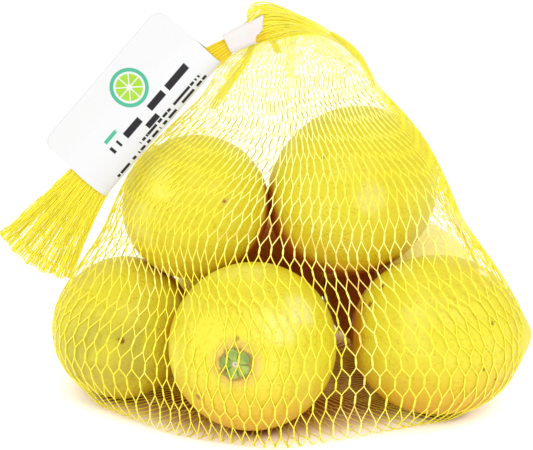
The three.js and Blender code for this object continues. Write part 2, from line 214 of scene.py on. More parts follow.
# The floor's painted glow, which washes out the shadow round the bag, goes to each level between
# two distances, in half sizes of the painted shadow.
FLOOR_GLOW = ((0.75, 1.05, 0.6), (1.1, 1.3, 1.0), (1.6, 2.6, 0.26))
CAMERA_AT, CAMERA_TURN = (0.0, -618.187, 264.533), radians(72)
SKIN = {}  # what several operators share: the skin's planes, and the net's surface


# ---------- arrays ----------

def smooth(x):
    """0 below 0, 1 above 1, and 3x^2 - 2x^3 between."""
    x = np.clip(x, 0.0, 1.0)
    return x * x * (3.0 - 2.0 * x)


def lerp(a, b, share):
    """From a to b by a share."""
    return a + (b - a) * share


def bell(x, middle, reach):
    """A bell curve: 1 at its middle and 1/e at its reach."""
    return np.exp(-(((x - middle) / reach) ** 2))


def unit(v):
    """Vectors brought to length 1."""
    v = np.asarray(v, float)
    return v / np.maximum(np.linalg.norm(v, axis=-1, keepdims=True), 1e-12)


def bezier(points, t):
    """Cubic Bezier: the four control points weighed by the Bernstein polynomials of t."""
    u = 1.0 - t
    weights = (u ** 3, 3 * u * u * t, 3 * u * t * t, t ** 3)
    return sum(np.asarray(w)[..., None] * p for w, p in zip(weights, points))


def axes_of(axis):
    """Three unit directions: the axis, and two across it."""
    along = unit(axis)
    helper = np.array([0.0, 0.0, 1.0]) if abs(along[2]) < 0.9 else np.array([1.0, 0.0, 0.0])
    across = unit(np.cross(helper, along))
    return along, across, np.cross(along, across)


def grid_quads(rows, columns, wrap=False):
    """Quads between neighbouring points of a grid; wrap joins the last column to the first."""
    row = np.arange(rows - 1)[:, None] * columns
    column = np.arange(columns if wrap else columns - 1)[None, :]
    after = (column + 1) % columns
    return np.stack([row + column, row + after, row + columns + after, row + columns + column],
                    axis=-1).reshape(-1, 4)


def waves(rng, count, top):
    """Whole-number frequencies, phases and weights of a smooth random field."""
    step, phase = rng.integers(1, top, (count, 2)), rng.uniform(0, 2 * pi, (count, 2))
    return step, phase, rng.normal(0, 1, count)


# ---------- the net's surface ----------

def even_directions(count):
    """Directions spread over a sphere by the golden angle."""
    i = np.arange(count)
    z = 1 - 2 * (i + 0.5) / count
    r = np.sqrt(1 - z * z)
    turn = pi * (1 + 5 ** 0.5) * i
    return np.stack([r * np.cos(turn), r * np.sin(turn), z], axis=-1)


def skin_planes():
    """Normals and offsets of the tight skin: the convex hull of the lemons as ellipsoids with
    their tips, the two ridge spheres, and the rounds on the table."""
    around = even_directions(BALL_POINTS)
    cloud = []
    for lemon in LEMONS:
        axis = unit(lemon.axis)
        grow = (lemon.half - lemon.radius) * (around @ axis)[:, None] * axis
        cloud.append(np.array(lemon.centre) + around * lemon.radius + grow)
        cloud.append((np.array(lemon.centre) + axis * (lemon.half + lemon.nipple))[None])
    cloud += [np.array(end[:3]) + around * end[3] for end in RIDGE]
    turn = np.linspace(0, 2 * pi, ROUND_POINTS, endpoint=False)
    ring = np.stack([np.cos(turn), np.sin(turn), 0 * turn], axis=-1)
    cloud += [np.array([x, y, 0.0]) + ring * radius for x, y, radius in SKIRTS]
    mesh = bpy.data.meshes.new("skin")
    mesh.from_pydata(np.concatenate(cloud), [], [])
    shape = bmesh.new()
    shape.from_mesh(mesh)
    made = bmesh.ops.convex_hull(shape, input=shape.verts)
    inside = [v for v in made["geom_interior"] if isinstance(v, bmesh.types.BMVert)]
    bmesh.ops.delete(shape, geom=inside, context="VERTS")
    shape.to_mesh(mesh)
    shape.free()
    normals = np.empty(len(mesh.polygons) * 3)
    centres = np.empty(len(mesh.polygons) * 3)
    mesh.polygons.foreach_get("normal", normals)
    mesh.polygons.foreach_get("center", centres)
    bpy.data.meshes.remove(mesh)
    normals, centres = normals.reshape(-1, 3), centres.reshape(-1, 3)
    middle = centres.mean(axis=0)
    facing = np.sign(((centres - middle) * normals).sum(axis=1))
    normals *= facing[:, None]
    return normals, (normals * centres).sum(axis=1)


def distance_to(item, points):
    """About how far points lie outside an ellipsoid: |d| (1 - 1/q), q its scaled radius."""
    centre, axis, radius, half = item
    d = points - centre
    along = d @ axis
    length = np.linalg.norm(d, axis=-1)
    across = np.sqrt(np.maximum(length ** 2 - along ** 2, 0.0))
    q = np.maximum(np.hypot(across / radius, along / half), 1e-6)
    return length * (1 - 1 / q)


def ellipsoids(lemons=LEMONS):
    """Each lemon's centre, axis, radius and half length."""
    return [(np.array(m.centre), unit(m.axis), m.radius, m.half) for m in lemons]


def free_distance(points):
    """Smooth least distance to the lemons and the ridge ends: the logarithm of a sum of
    exponentials."""
    up = np.array([0.0, 0.0, 1.0])
    inside = ellipsoids() + [(np.array(end[:3]), up, end[3], end[3]) for end in RIDGE]
    total = sum(np.exp(-distance_to(item, points) / SAG_BLEND) for item in inside)
    return np.maximum(-SAG_BLEND * np.log(np.maximum(total, 1e-30)), 0.0)


def rim_line(normals, offsets, z, count=RIM_POINTS):
    """One level of the bag as a fine closed line: along each ray from the middle, the nearest of
    the skin's planes, drawn in by the sag."""
    centre = np.array([*lerp(np.array(FLOOR_CENTRE), np.array(TENT_CENTRE), z / HOOD_BASE), z])
    turn = 2 * pi * np.arange(count) / count
    out = np.stack([np.cos(turn), np.sin(turn), 0 * turn], axis=-1)
    facing = normals @ out.T
    gap = (offsets - normals @ centre)[:, None]
    reach = np.where(facing > 1e-6, gap / np.maximum(facing, 1e-6), np.inf).min(axis=0)
    rim = centre + out * reach[:, None]
    face = np.sin(turn) ** 2 * smooth((HOOD_BASE - z) / SAG_TOP)
    share = lerp(SAG_SIDE, SAG_FACE, face) * smooth(z / SAG_FLOOR)
    return rim - out * (share * free_distance(rim))[:, None]


def run_of(line):
    """Length along a closed line at each of its points, and at its end."""
    steps = np.linalg.norm(np.roll(line, -1, axis=0) - line, axis=1)
    return np.concatenate([[0.0], np.cumsum(steps)])


def at_run(line, run, want):
    """Points of a closed line at given lengths along it."""
    closed = np.concatenate([line, line[:1]])
    return np.stack([np.interp(want % run[-1], run, closed[:, i]) for i in range(3)], axis=-1)


def soften(grid, reach):
    """Each row smoothed along its closed columns by a bell curve, reach columns wide."""
    columns = grid.shape[-1]
    wave = np.fft.rfftfreq(columns) * 2 * pi * reach
    return np.fft.irfft(np.fft.rfft(grid, axis=-1) * np.exp(-0.5 * wave ** 2), columns, axis=-1)


def gathered_columns():
    """Even places of the columns, in shares of a turn, drawn towards the hood's pleats: the inverse
    of the sum of 1 and one bell curve for each pleat."""
    x = np.linspace(0, 1, 4001)
    weight = np.ones_like(x)
    for middle, reach, strength in PLEATS_OF_HOOD:
        away = (x - middle + 0.5) % 1 - 0.5
        weight = weight + strength * bell(away, 0.0, reach)
    total = np.concatenate([[0.0], np.cumsum(0.5 * (weight[1:] + weight[:-1]))])
    return np.interp(np.arange(COLUMNS) / COLUMNS, total / total[-1], x)


def turn_run(run, share):
    """Length along a level at a share of a turn: its back half and its front half are each even."""
    half = run[(len(run) - 1) // 2]
    return np.where(share < 0.5, half * 2 * share, half + (run[-1] - half) * (2 * share - 1))


def flow_down(lines, first):
    """Columns that run down the bag square to its levels, as the net's pull lies. From each level
    to the next a point goes to the nearest one, and the gaps between points even out a little."""
    run = run_of(lines[0])
    place = turn_run(run, first)
    loops = [at_run(lines[0], run, place)]
    for line in lines[1:]:
        run = run_of(line)
        away = ((loops[-1][:, None] - line[None]) ** 2).sum(axis=-1)
        i = away.argmin(axis=1)
        j = np.arange(COLUMNS)
        before, here, after = (away[j, (i + k) % len(line)] for k in (-1, 0, 1))
        i = i + 0.5 * (before - after) / np.maximum(before - 2 * here + after, 1e-9)
        found = np.interp(i % len(line), np.arange(len(line) + 1), run)
        total = run[-1]
        gaps = np.maximum((np.roll(found, -1) - found + total / 2) % total - total / 2, LEAST_GAP)
        wanted = 1 + HOLLOW_SPREAD * smooth(free_distance(loops[-1]) / HOLLOW_DEPTH)
        wanted = wanted * total / wanted.sum()
        gaps = soften(lerp(gaps * total / gaps.sum(), wanted, EVEN_PULL), SOFT_GAPS)
        gaps *= total / gaps.sum()
        place = np.concatenate([[0.0], np.cumsum(gaps)[:-1]])
        shift = (found - place + total / 2) % total - total / 2
        place = place + shift[0] + ((shift - shift[0] + total / 2) % total - total / 2).mean()
        loops.append(at_run(line, run, place))
    return loops


def hang(x, h, out):
    """A point of the hanging plane, moved out towards the front."""
    c, s = cos(HANG_TILT), sin(HANG_TILT)
    return np.stack(np.broadcast_arrays(x, HANG_FOOT + h * s - out * c, h * c + out * s), axis=-1)


def neck_place(t):
    """The neck's middle line and its direction in the hanging plane, a cubic Bezier."""
    u = 1.0 - t
    slopes = (-u * u, u * u - 2 * u * t, 2 * u * t - t * t, t * t)
    direction = sum(np.asarray(w)[..., None] * p for w, p in zip(slopes, NECK_PATH))
    return bezier(NECK_PATH, t), unit(direction)


def neck_half(t):
    """Half width: even at the top, squeezed by the clip, spread late into the tail."""
    spread = np.maximum(t - TAIL_FROM, 0) / (1 - TAIL_FROM)
    pinch = PINCH_DEPTH * bell(t, PINCH_AT, PINCH_REACH)
    return NECK_HALF - pinch + (TAIL_HALF - NECK_HALF) * spread ** TAIL_POWER


def neck_loop(t, shares):
    """One flattened loop round the neck, at shares of a turn. Towards the tail its strands are
    spaced evenly across, and drawn together in small pleats."""
    place, along = neck_place(np.array(t))
    half = neck_half(t)
    thick = lerp(NECK_THICK, TAIL_THICK, smooth(t))
    turn = 2 * pi * shares
    even = np.abs(4 * shares - 2) - 1
    tail = smooth((t - 0.45) / 0.5)
    front = np.sign(np.sin(turn))
    even = even + BUNCH_PULL * tail * np.sin(2 * pi * BUNCHES * even + BUNCH_LAG * front)
    side = lerp(np.cos(turn), even, 0.9 * smooth(t * 1.4))
    depth = np.sqrt(np.maximum(1 - side ** 2, 0)) * front
    fold = PLEAT_DEPTH * smooth((t - 0.7) / 0.25)
    push = TAIL_BOW * smooth((t - 0.6) / 0.4) * (1 - side ** 2)
    x = place[0] + along[1] * side * half + along[0] * push
    h = place[1] - along[0] * side * half + along[1] * push
    return hang(x, h, -thick * depth + fold * np.sin(PLEATS * pi * side))


def hood_loops(normals, offsets, shares_at):
    """The hood: from the neck, each line runs on, turns, and comes down on the tent, as a cubic
    Bezier. shares_at gives the strands' shares of a turn on each loop, from the tent up."""
    even = np.arange(COLUMNS) / COLUMNS
    base, below = (at_run(line, run_of(line), turn_run(run_of(line), even)) for line in
                   (rim_line(normals, offsets, z) for z in (HOOD_BASE, HOOD_BASE - HOOD_UNDER)))
    start = neck_loop(0.0, even)
    along = neck_place(np.array(0.0))[1]
    onward = hang(-along[0], -along[1], 0.0) - hang(0.0, 0.0, 0.0)
    outer = np.cos(2 * pi * even + HOOD_TURN)
    first = start + onward * (HOOD_REACH + HOOD_SWING * outer)[:, None]
    first[:, 2] += HOOD_LIFT * np.maximum(outer, 0)
    second = base - unit(below - base) * HOOD_DROP
    surface = np.stack([bezier((base, second, first, start), np.array(k / HOOD_LEVELS))
                        for k in range(1, HOOD_LEVELS)])
    rows = np.arange(HOOD_LEVELS - 1)[:, None] + np.zeros(COLUMNS)
    return sample(surface, rows, np.stack(shares_at) * COLUMNS)


def sample(grid, station, column):
    """Bilinear reading of a grid whose columns close on themselves."""
    rows, columns = grid.shape[:2]
    station = np.clip(station, 0, rows - 1.0001)
    i = station.astype(int)
    j = np.floor(column).astype(int)
    a, b = (station - i)[..., None], (column - j)[..., None]
    j0, j1 = j % columns, (j + 1) % columns
    return ((grid[i, j0] * (1 - b) + grid[i, j1] * b) * (1 - a)
            + (grid[i + 1, j0] * (1 - b) + grid[i + 1, j1] * b) * a)


def knot_lines(part, strands, leg):
    """A part of the net's surface read again on lines that are FINE to each row of knots, and its
    count of rows. With the leg as long side and the strands' spacing as one short side, the rows'
    pitch is the other short side of a triangle with a right angle."""
    spacing = np.linalg.norm(np.roll(part, -1, axis=1) - part, axis=2)
    wide = soften(spacing, SOFT_GAPS) * COLUMNS / strands
    height = part[..., 2]
    hollow = smooth(free_distance(part) / HOLLOW_DEPTH) * smooth((HOOD_BASE - height) / SAG_TOP)
    left = (leg * (1 - HOLLOW_SHORT * hollow)) ** 2 - wide ** 2
    pitch = np.sqrt(np.maximum(left, LEAST_PITCH ** 2))
    pitch = lerp(pitch, pitch.mean(axis=1, keepdims=True), EVEN_ROWS)
    pitch = pitch * (1 + LOW_LONG * smooth((LOW_TOP - height) / LOW_REACH))
    steps = np.linalg.norm(np.diff(part, axis=0), axis=2) * 2 / (pitch[1:] + pitch[:-1])
    row = np.concatenate([np.zeros((1, COLUMNS)), np.cumsum(soften(steps, SOFT_ROWS), axis=0)])
    total = max(int(round(row[-1].mean())), 2)
    row = row / row[-1] * total
    want = np.arange(total * FINE + 1) / FINE
    station = np.stack([np.interp(want, row[:, j], np.arange(len(row))) for j in range(COLUMNS)],
                       axis=1)
    return sample(part, station, np.arange(COLUMNS) + 0.0 * station), total


def net_sheet():
    """The net's surface, from the gather under the bag to the tail's cut end, as a grid of columns
    that its strands follow. Its lines are FINE to each row of knots."""
    s = bpy.context.scene.net_settings
    normals, offsets = skin_planes()
    shares = gathered_columns()
    even = np.arange(COLUMNS) / COLUMNS
    heights = HOOD_BASE * np.linspace(1, 0, BAG_LEVELS) ** BAG_POWER
    tent = flow_down([rim_line(normals, offsets, z) for z in heights], shares)[::-1]
    gather = np.array([*FLOOR_GATHER, 0.0])
    under = [gather + (tent[0] - gather) * share
             for share in np.linspace(GATHER_FROM, GATHER_TO, GATHER_LEVELS)]
    fade = [lerp(shares, even, smooth(k / HOOD_LEVELS)) for k in range(1, HOOD_LEVELS)]
    hood = hood_loops(normals, offsets, fade)
    neck = [neck_loop(t, even) for t in np.linspace(0, 1, NECK_LEVELS)]
    parts, ends, last = [], [0], []
    for loops in (under + tent, hood, neck):
        part = np.stack([*last, *loops])
        last = part[-1:]
        made, rows = knot_lines(part, s.strands, s.leg / MM)
        parts.append(made[:-1])
        ends.append(ends[-1] + rows)
    sheet = np.concatenate(parts + [made[-1:]])
    du = np.roll(sheet, -1, axis=1) - np.roll(sheet, 1, axis=1)
    outward = unit(np.cross(unit(du), unit(np.gradient(sheet, axis=0))))
    wide = soften(np.linalg.norm(du, axis=2) / 2, SOFT_WIDTH) * COLUMNS / s.strands
    return {"planes": (normals, offsets), "sheet": sheet, "outward": outward,
            "wide": wide[..., None], "ends": ends}


def skin():
    """The net's surface, worked out once."""
    if not SKIN:
        SKIN.update(net_sheet())
    return SKIN


# ---------- pieces ----------

def fill_mesh(name, points, polygons):
    """A mesh from points in millimetres and arrays of polygons, one for each count of sides."""
    points = (np.asarray(points).reshape(-1, 3) - BOX_CENTRE) * MM
    corners = np.concatenate([p.ravel() for p in polygons])
    sizes = np.concatenate([np.full(len(p), p.shape[1]) for p in polygons])
    mesh = bpy.data.meshes.new(name)
    mesh.vertices.add(len(points))
    mesh.vertices.foreach_set("co", points.astype(np.float32).ravel())
    mesh.loops.add(len(corners))
    mesh.loops.foreach_set("vertex_index", corners.astype(np.int32))
    mesh.polygons.add(len(sizes))
    starts = np.concatenate([[0], np.cumsum(sizes)[:-1]])
    mesh.polygons.foreach_set("loop_start", starts.astype(np.int32))
    mesh.update(calc_edges=True)
    mesh.validate()
    return mesh


def turn_out(points, polygons):
    """The polygons, all turned round if the closed surface that they make faces inwards."""
    points = np.asarray(points).reshape(-1, 3)
    volume = 0.0
    for p in polygons:
        corner = points[p]
        for k in range(1, p.shape[1] - 1):
            volume += (corner[:, 0] * np.cross(corner[:, k], corner[:, k + 1])).sum()
    return polygons if volume > 0 else [p[:, ::-1] for p in polygons]


def add_piece(name, points, polygons, material, nodes, uv=None, values=None):
    """Links a smooth piece that rides on the part and stands for CAD nodes."""
    mesh = fill_mesh(name, points, turn_out(points, polygons))
    mesh.shade_smooth()
    index = np.empty(len(mesh.loops), np.int32)
    mesh.loops.foreach_get("vertex_index", index)
    if uv is not None:
        layer = mesh.uv_layers.new(name="UVMap")
        corners = np.asarray(uv).reshape(-1, 2)[index]
        layer.data.foreach_set("uv", corners.astype(np.float32).ravel())
    for key, value in (values or {}).items():
        layer = mesh.attributes.new(key, "FLOAT", "POINT")
        layer.data.foreach_set("value", np.asarray(value).astype(np.float32).ravel())
    piece = bpy.data.objects.new(name, mesh)
    bpy.context.scene.collection.objects.link(piece)
    mesh.materials.append(material)
    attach(piece, "root")
    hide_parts(*nodes)


def tubes(centres, sideways, outward, wide, high, sides):
    """Closed tubes of oval section, one along each row of centres: centre + wide cos(a) sideways
    + high sin(a) outward."""
    strands, steps = centres.shape[:2]
    a = 2 * pi * np.arange(sides) / sides
    ring = (sideways[:, :, None] * (np.cos(a)[:, None] * wide[..., None, None])
            + outward[:, :, None] * (np.sin(a)[:, None] * high[..., None, None]))
    points = centres[:, :, None] + ring
    wall = grid_quads(steps, sides, wrap=True)
    first = np.arange(strands)[:, None, None] * steps * sides
    cap = np.arange(sides)[None, None]
    caps = np.concatenate([first + cap[..., ::-1], first + (steps - 1) * sides + cap])
    return points, [(first + wall[None]).reshape(-1, 4), caps.reshape(-1, sides)]


# ---------- node trees ----------

class Graph:
    """Adds nodes to a tree from left to right and joins them."""

    def __init__(self, tree):
        self.tree = tree
        self.tree.nodes.clear()

    def add(self, kind, inputs=(), **settings):
        node = self.tree.nodes.new(kind)
        node.location = (NODE_STEP * len(self.tree.nodes), 0)
        for key, value in settings.items():
            setattr(node, key, value)
        for key, value in dict(inputs).items():
            if isinstance(value, bpy.types.NodeSocket):
                self.tree.links.new(value, node.inputs[key])
            else:
                node.inputs[key].default_value = value
        return node

    def math(self, operation, *values):
        return self.add("ShaderNodeMath", enumerate(values), operation=operation).outputs[0]

    def mix(self, share, a, b):
        """From colour a to colour b by a share."""
        node = self.add("ShaderNodeMix", {0: share, 6: a, 7: b}, data_type="RGBA")
        return node.outputs[2]

    def ramp(self, value, low, high, to_low=0.0, to_high=1.0):
        """A smooth step from to_low, at low, to to_high, at high."""
        node = self.add("ShaderNodeMapRange", {0: value, 1: low, 2: high, 3: to_low, 4: to_high},
                        interpolation_type="SMOOTHSTEP")
        return node.outputs[0]

    def noise(self, place, scale, detail=2.0, rough=0.5):
        inputs = {"Vector": place, "Scale": scale, "Detail": detail, "Roughness": rough}
        return self.add("ShaderNodeTexNoise", inputs).outputs[0]

    def attribute(self, name):
        return self.add("ShaderNodeAttribute", attribute_name=name).outputs["Fac"]

    def distance(self, a, b):
        node = self.add("ShaderNodeVectorMath", {0: a, 1: b}, operation="DISTANCE")
        return node.outputs["Value"]

    def place(self):
        return self.add("ShaderNodeTexCoord").outputs["Object"]

    def feed(self, shader, **sources):
        """Joins outputs to the shader's sockets, named with _ for each space."""
        for key, source in sources.items():
            self.tree.links.new(source, shader.inputs[key.replace("_", " ")])

    def feed_bump(self, shader, height, strength, depth):
        inputs = {"Height": height, "Strength": strength, "Distance": depth}
        self.feed(shader, Normal=self.add("ShaderNodeBump", inputs).outputs[0])


def group(name, inputs, outputs, build):
    """A shader node group made once. inputs holds name and default, outputs name and kind."""
    made = bpy.data.node_groups.get(name)
    if made:
        return made
    made = bpy.data.node_groups.new(name, "ShaderNodeTree")
    graph = Graph(made)
    for key, default in inputs:
        kind = ("NodeSocketVector" if default is None
                else "NodeSocketColor" if isinstance(default, tuple) else "NodeSocketFloat")
        socket = made.interface.new_socket(name=key, in_out="INPUT", socket_type=kind)
        if default is not None:
            socket.default_value = default
    for key, kind in outputs:
        made.interface.new_socket(name=key, in_out="OUTPUT", socket_type="NodeSocket" + kind)
    start = graph.add("NodeGroupInput")
    results = build(graph, start.outputs)
    graph.add("NodeGroupOutput", results)
    return made


def new_material(name, **constants):
    """A material with one Principled shader; the constants go on its own sockets."""
    material = bpy.data.materials.new(name)
    material.use_nodes = True
    graph = Graph(material.node_tree)
    shader = graph.add("ShaderNodeBsdfPrincipled")
    for key, value in constants.items():
        shader.inputs[key.replace("_", " ")].default_value = value
    graph.add("ShaderNodeOutputMaterial", {"Surface": shader.outputs[0]})
    return material, graph, shader


def rgba(colour):
    """A colour from the settings, with full opacity."""
    return (*colour, 1.0)


def pores_group():
    """Oil pores of citrus peel: small round dimples, and the height and shade they give."""
    def build(g, source):
        worn = g.noise(source["Place"], 260.0, 1.0)
        inputs = {"Vector": source["Place"], "Scale": source["Density"], "Smoothness": 0.35}
        cells = g.add("ShaderNodeTexVoronoi", inputs, feature="SMOOTH_F1")
        dimple = g.ramp(cells.outputs["Distance"], 0.12, 0.5)
        depth = g.math("MULTIPLY", g.math("SUBTRACT", 1.0, dimple), g.ramp(worn, 0.3, 0.62))
        uneven = g.noise(source["Place"], 110.0, 3.0)
        height = g.math("ADD", g.math("MULTIPLY", depth, -1.0), g.math("MULTIPLY", uneven, 0.9))
        return {"Height": height, "Dimple": depth}
    return group("Citrus pores", [("Place", None), ("Density", 800.0)],
                 [("Height", "Float"), ("Dimple", "Float")], build)


def spot_group():
    """A round mark with a ragged edge: 1 at its middle and 0 outside its radius."""
    def build(g, source):
        away = g.distance(source["Place"], source["Centre"])
        ragged = g.math("MULTIPLY", g.noise(source["Place"], 900.0, 3.0), source["Radius"])
        half = g.math("MULTIPLY", source["Radius"], 0.5)
        edge = g.math("ADD", away, g.math("SUBTRACT", ragged, half))
        outer = g.math("MULTIPLY", source["Radius"], 1.15)
        inner = g.math("MULTIPLY", source["Radius"], 0.45)
        return {"Mask": g.ramp(edge, outer, inner)}
    return group("Ragged spot", [("Place", None), ("Centre", None), ("Radius", 0.002)],
                 [("Mask", "Float")], build)


def strand_group():
    """Knitted strand of clear yellow plastic: yellow at knots and where it is crowded, amber where it
    is
    tightly packed. Painted light and shade: pale where it runs alone over a gap, yellow where it lies
    on a lemon, cream over a dark gap, and brown in the shade. A free strand gives off some of the
    light that passes through it, a painted glow; covered strands glow in their own colour."""
    def build(g, source):
        near, gap, shade, crowd = (source[key] for key in ("Near", "Gap", "Shade", "Crowd"))
        # Painted light: a strand near a lemon takes the yellow, as knots and crowded strands do.
        full = g.math("MAXIMUM", g.math("MULTIPLY", source["Knot"], 0.55), near)
        full = g.math("MAXIMUM", full, g.ramp(crowd, 0.15, 0.7))
        tone = g.mix(full, source["Pale"], source["Yellow"])
        # Painted shade: cream over a dark gap.
        tone = g.mix(gap, tone, source["Cream"])
        tone = g.mix(g.ramp(crowd, 0.86, 1.02), tone, source["Amber"])
        streak = g.noise(source["Place"], 420.0, 2.0)
        worn = g.math("MULTIPLY", g.ramp(streak, 0.35, 0.75), g.math("MULTIPLY", crowd, 0.3))
        tone = g.mix(worn, tone, source["Amber"])
        # Painted shade: brown under the lemons.
        tone = g.mix(g.math("MULTIPLY", shade, 0.8), tone, source["Brown"])
        covered = g.math("MAXIMUM", g.math("MAXIMUM", near, gap), shade)
        covered = g.math("MAXIMUM", covered, g.ramp(crowd, 0.45, 0.85))
        # Painted glow: free strands and knots give off the glow colours, covered ones their own
        # colour.
        tick = g.mix(g.math("MULTIPLY", source["Knot"], 0.8), source["Glow"], source["Tick"])
        light = g.mix(covered, tick, g.mix(0.32, tone, BLACK))
        return {"Colour": tone, "Light": light, "Roughness": g.ramp(streak, 0.2, 0.8, 0.3, 0.5)}
    inputs = [("Place", None), *((key.capitalize(), 0.0) for key in STRAND_MASKS),
              *((key.capitalize(), WHITE) for key in STRAND_COLOURS)]
    outputs = [("Colour", "Color"), ("Light", "Color"), ("Roughness", "Float")]
    return group("Knitted strand", inputs, outputs, build)


# ---------- settings ----------

def colour(name, description, default):
    """A colour that a user can change."""
    return FloatVectorProperty(name=name, description=description, default=default, size=3,
                               subtype="COLOR", min=0.0, max=1.0)


def length(name, description, default):
    """A length that a user can change, in metres."""
    return FloatProperty(name=name, description=description, default=default, unit="LENGTH", min=0.0)


class LemonSettings(PropertyGroup):
    peel: colour("Peel", "Main colour of ripe peel", (0.612, 0.574, 0.028))
    pale: colour("Pale peel", "Lighter patches", (0.678, 0.666, 0.110))
    deep: colour("Deep peel", "Warmer patches", (0.61, 0.43, 0.009))
    # Painted shade: the undersides turn orange where shade falls under the lemons.
    ripe: colour("Ripe underside", "Orange shade of the undersides", (0.52, 0.285, 0.002))
    unripe: colour("Unripe", "Greenish peel", (0.34, 0.32, 0.03))
    # Painted shade: these two darken the peel where lemons crowd together, near the table, and deep in
    # the pile.
    crevice_shade: colour("Crevice", "Where lemons crowd together", (0.42, 0.13, 0.002))
    dark: colour("Depth", "Deep between the lemons", (0.34, 0.062, 0.002))
    mark: colour("Mark", "Scars and specks", (0.13, 0.035, 0.010))
    # Painted glow: the peel gives off these colours for light bounced from lemon to lemon.
    bounce_glow: colour("Warmth", "Light that passes from lemon to lemon", (0.9, 0.38, 0.0))
    deep_bounce_glow: colour("Deep warmth", "The same light deep between the lemons", (0.25, 0.04, 0.0))
    halo: colour("Halo", "Worn peel round the stem button", (0.52, 0.30, 0.11))
    # Painted highlight: pale patches where soft reflections fall on the peel, one of them over a pale
    # scar.
    painted_highlight: colour("Scuff", "Pale scuffed patches", (0.82, 0.81, 0.46))
    # Painted light: the far lemon made pale, for the bright veil of the net in front of it.
    painted_haze: colour("Haze", "Pale peel of the far lemon", (0.86, 0.82, 0.30))
    calyx: colour("Calyx", "Green stem button", (0.16, 0.25, 0.03))
    calyx_pale: colour("Pale calyx", "Lighter lobes of the stem button", (0.34, 0.42, 0.065))
    calyx_worn: colour("Worn calyx", "Worn places of the stem button", (0.30, 0.36, 0.10))
    calyx_groove: colour("Calyx groove", "Grooves between the lobes", (0.05, 0.09, 0.02))
    calyx_rim: colour("Calyx rim", "Dry rim of the stem button", (0.09, 0.04, 0.015))
    calyx_middle: colour("Calyx middle", "Scar in the stem button", (0.62, 0.52, 0.42))
    pore: length("Pore spacing", "Distance between oil pores", 0.0011)
    lump: length("Lumps", "How uneven a lemon is", 0.0005)


class NetSettings(PropertyGroup):
    strands: IntProperty(name="Strands", description="Strands round the bag", default=200, min=20)
    seed: IntProperty(name="Seed", description="Seed of the knots' unevenness", default=11)
    width: length("Strand width", "Width of one strand where the net is spread", 0.00040)
    height: length("Strand height", "Height of one strand", 0.00038)
    slim: FloatProperty(name="Slimming", description="Share of the width left where strands crowd",
                        default=0.72, min=0.2, max=1.0, subtype="FACTOR")
    leg: length("Leg", "Length of strand from knot to knot", 0.0078)
    knot: FloatProperty(name="Knot share", description="Share of a leg where two strands lie together",
                        default=0.09, min=0.0, max=0.45, subtype="FACTOR")
    uneven: FloatProperty(name="Unevenness", description="How far knots stray, in strand spacings",
                          default=0.1, min=0.0)
    # Painted light and shade: a strand alone is pale, one near a lemon takes the yellow, one over a
    # dark gap the cream, and one under the lemons the brown. Yellow is also the knots' and crowded
    # strands' own colour, and amber the tight neck's.
    pale: colour("Pale strand", "A strand alone", (0.69, 0.665, 0.34))
    yellow: colour("Yellow", "Knots and crowded strands", (0.655, 0.58, 0.024))
    cream: colour("Cream", "Strands over a dark gap", (0.66, 0.47, 0.09))
    # Painted glow for the light that passes through the strands.
    glow: colour("Glow", "Light that free strands pass on", (0.57, 0.535, 0.12))
    tick: colour("Knot glow", "Light that free knots pass on", (0.95, 0.86, 0.06))
    brown: colour("Brown", "Strands in the shade under the lemons", (0.42, 0.19, 0.015))
    amber: colour("Amber", "The tight neck", (0.64, 0.44, 0.003))


class LabelSettings(PropertyGroup):
    paper: colour("Paper", "Paper colour", (0.61, 0.61, 0.615))
    fibre: colour("Fibre", "Darker fibres in the paper", (0.50, 0.50, 0.53))
    ink: colour("Ink", "Print bars", (0.012, 0.010, 0.012))
    teal: colour("Teal", "Ring of the motif", (0.06, 0.36, 0.22))
    lime: colour("Lime", "Segments of the motif", (0.29, 0.50, 0.03))
    thickness: length("Thickness", "Thickness of one leaf", 0.00022)


class ClipSettings(PropertyGroup):
    tone: colour("Clip", "Clip colour", (0.62, 0.595, 0.585))
    patch: colour("Patches", "Faint patches of the clip", (0.62, 0.55, 0.53))
    wall: length("Wall", "Wall of the clip", 0.0007)


class StageSettings(PropertyGroup):
    floor: colour("Floor", "Floor colour", (0.93, 0.93, 0.93))
    # Painted shadow: the floor's colour under the bag, and a warm tinge at its edge.
    shade: colour("Shaded floor", "Floor colour under the bag", (0.34, 0.11, 0.001))
    warm_shadow_edge: colour("Tinged floor", "Floor colour near the lemons", (0.86, 0.66, 0.42))
    # Painted light: the floor's glow washes out the bag's shadow round it.
    glow: FloatProperty(name="Glow", description="Light that the floor gives off", default=0.42)
    key: FloatProperty(name="Key light", description="Power of the key light", default=6.0,
                       unit="POWER")
    fill: FloatProperty(name="Fill light", description="Power of the fill light", default=2.5,
                        unit="POWER")
    sky: FloatProperty(name="Sky", description="Strength of the surroundings", default=0.98)
    lens: FloatProperty(name="Lens", description="Focal length", default=138.29, unit="CAMERA")


# ---------- lemons ----------

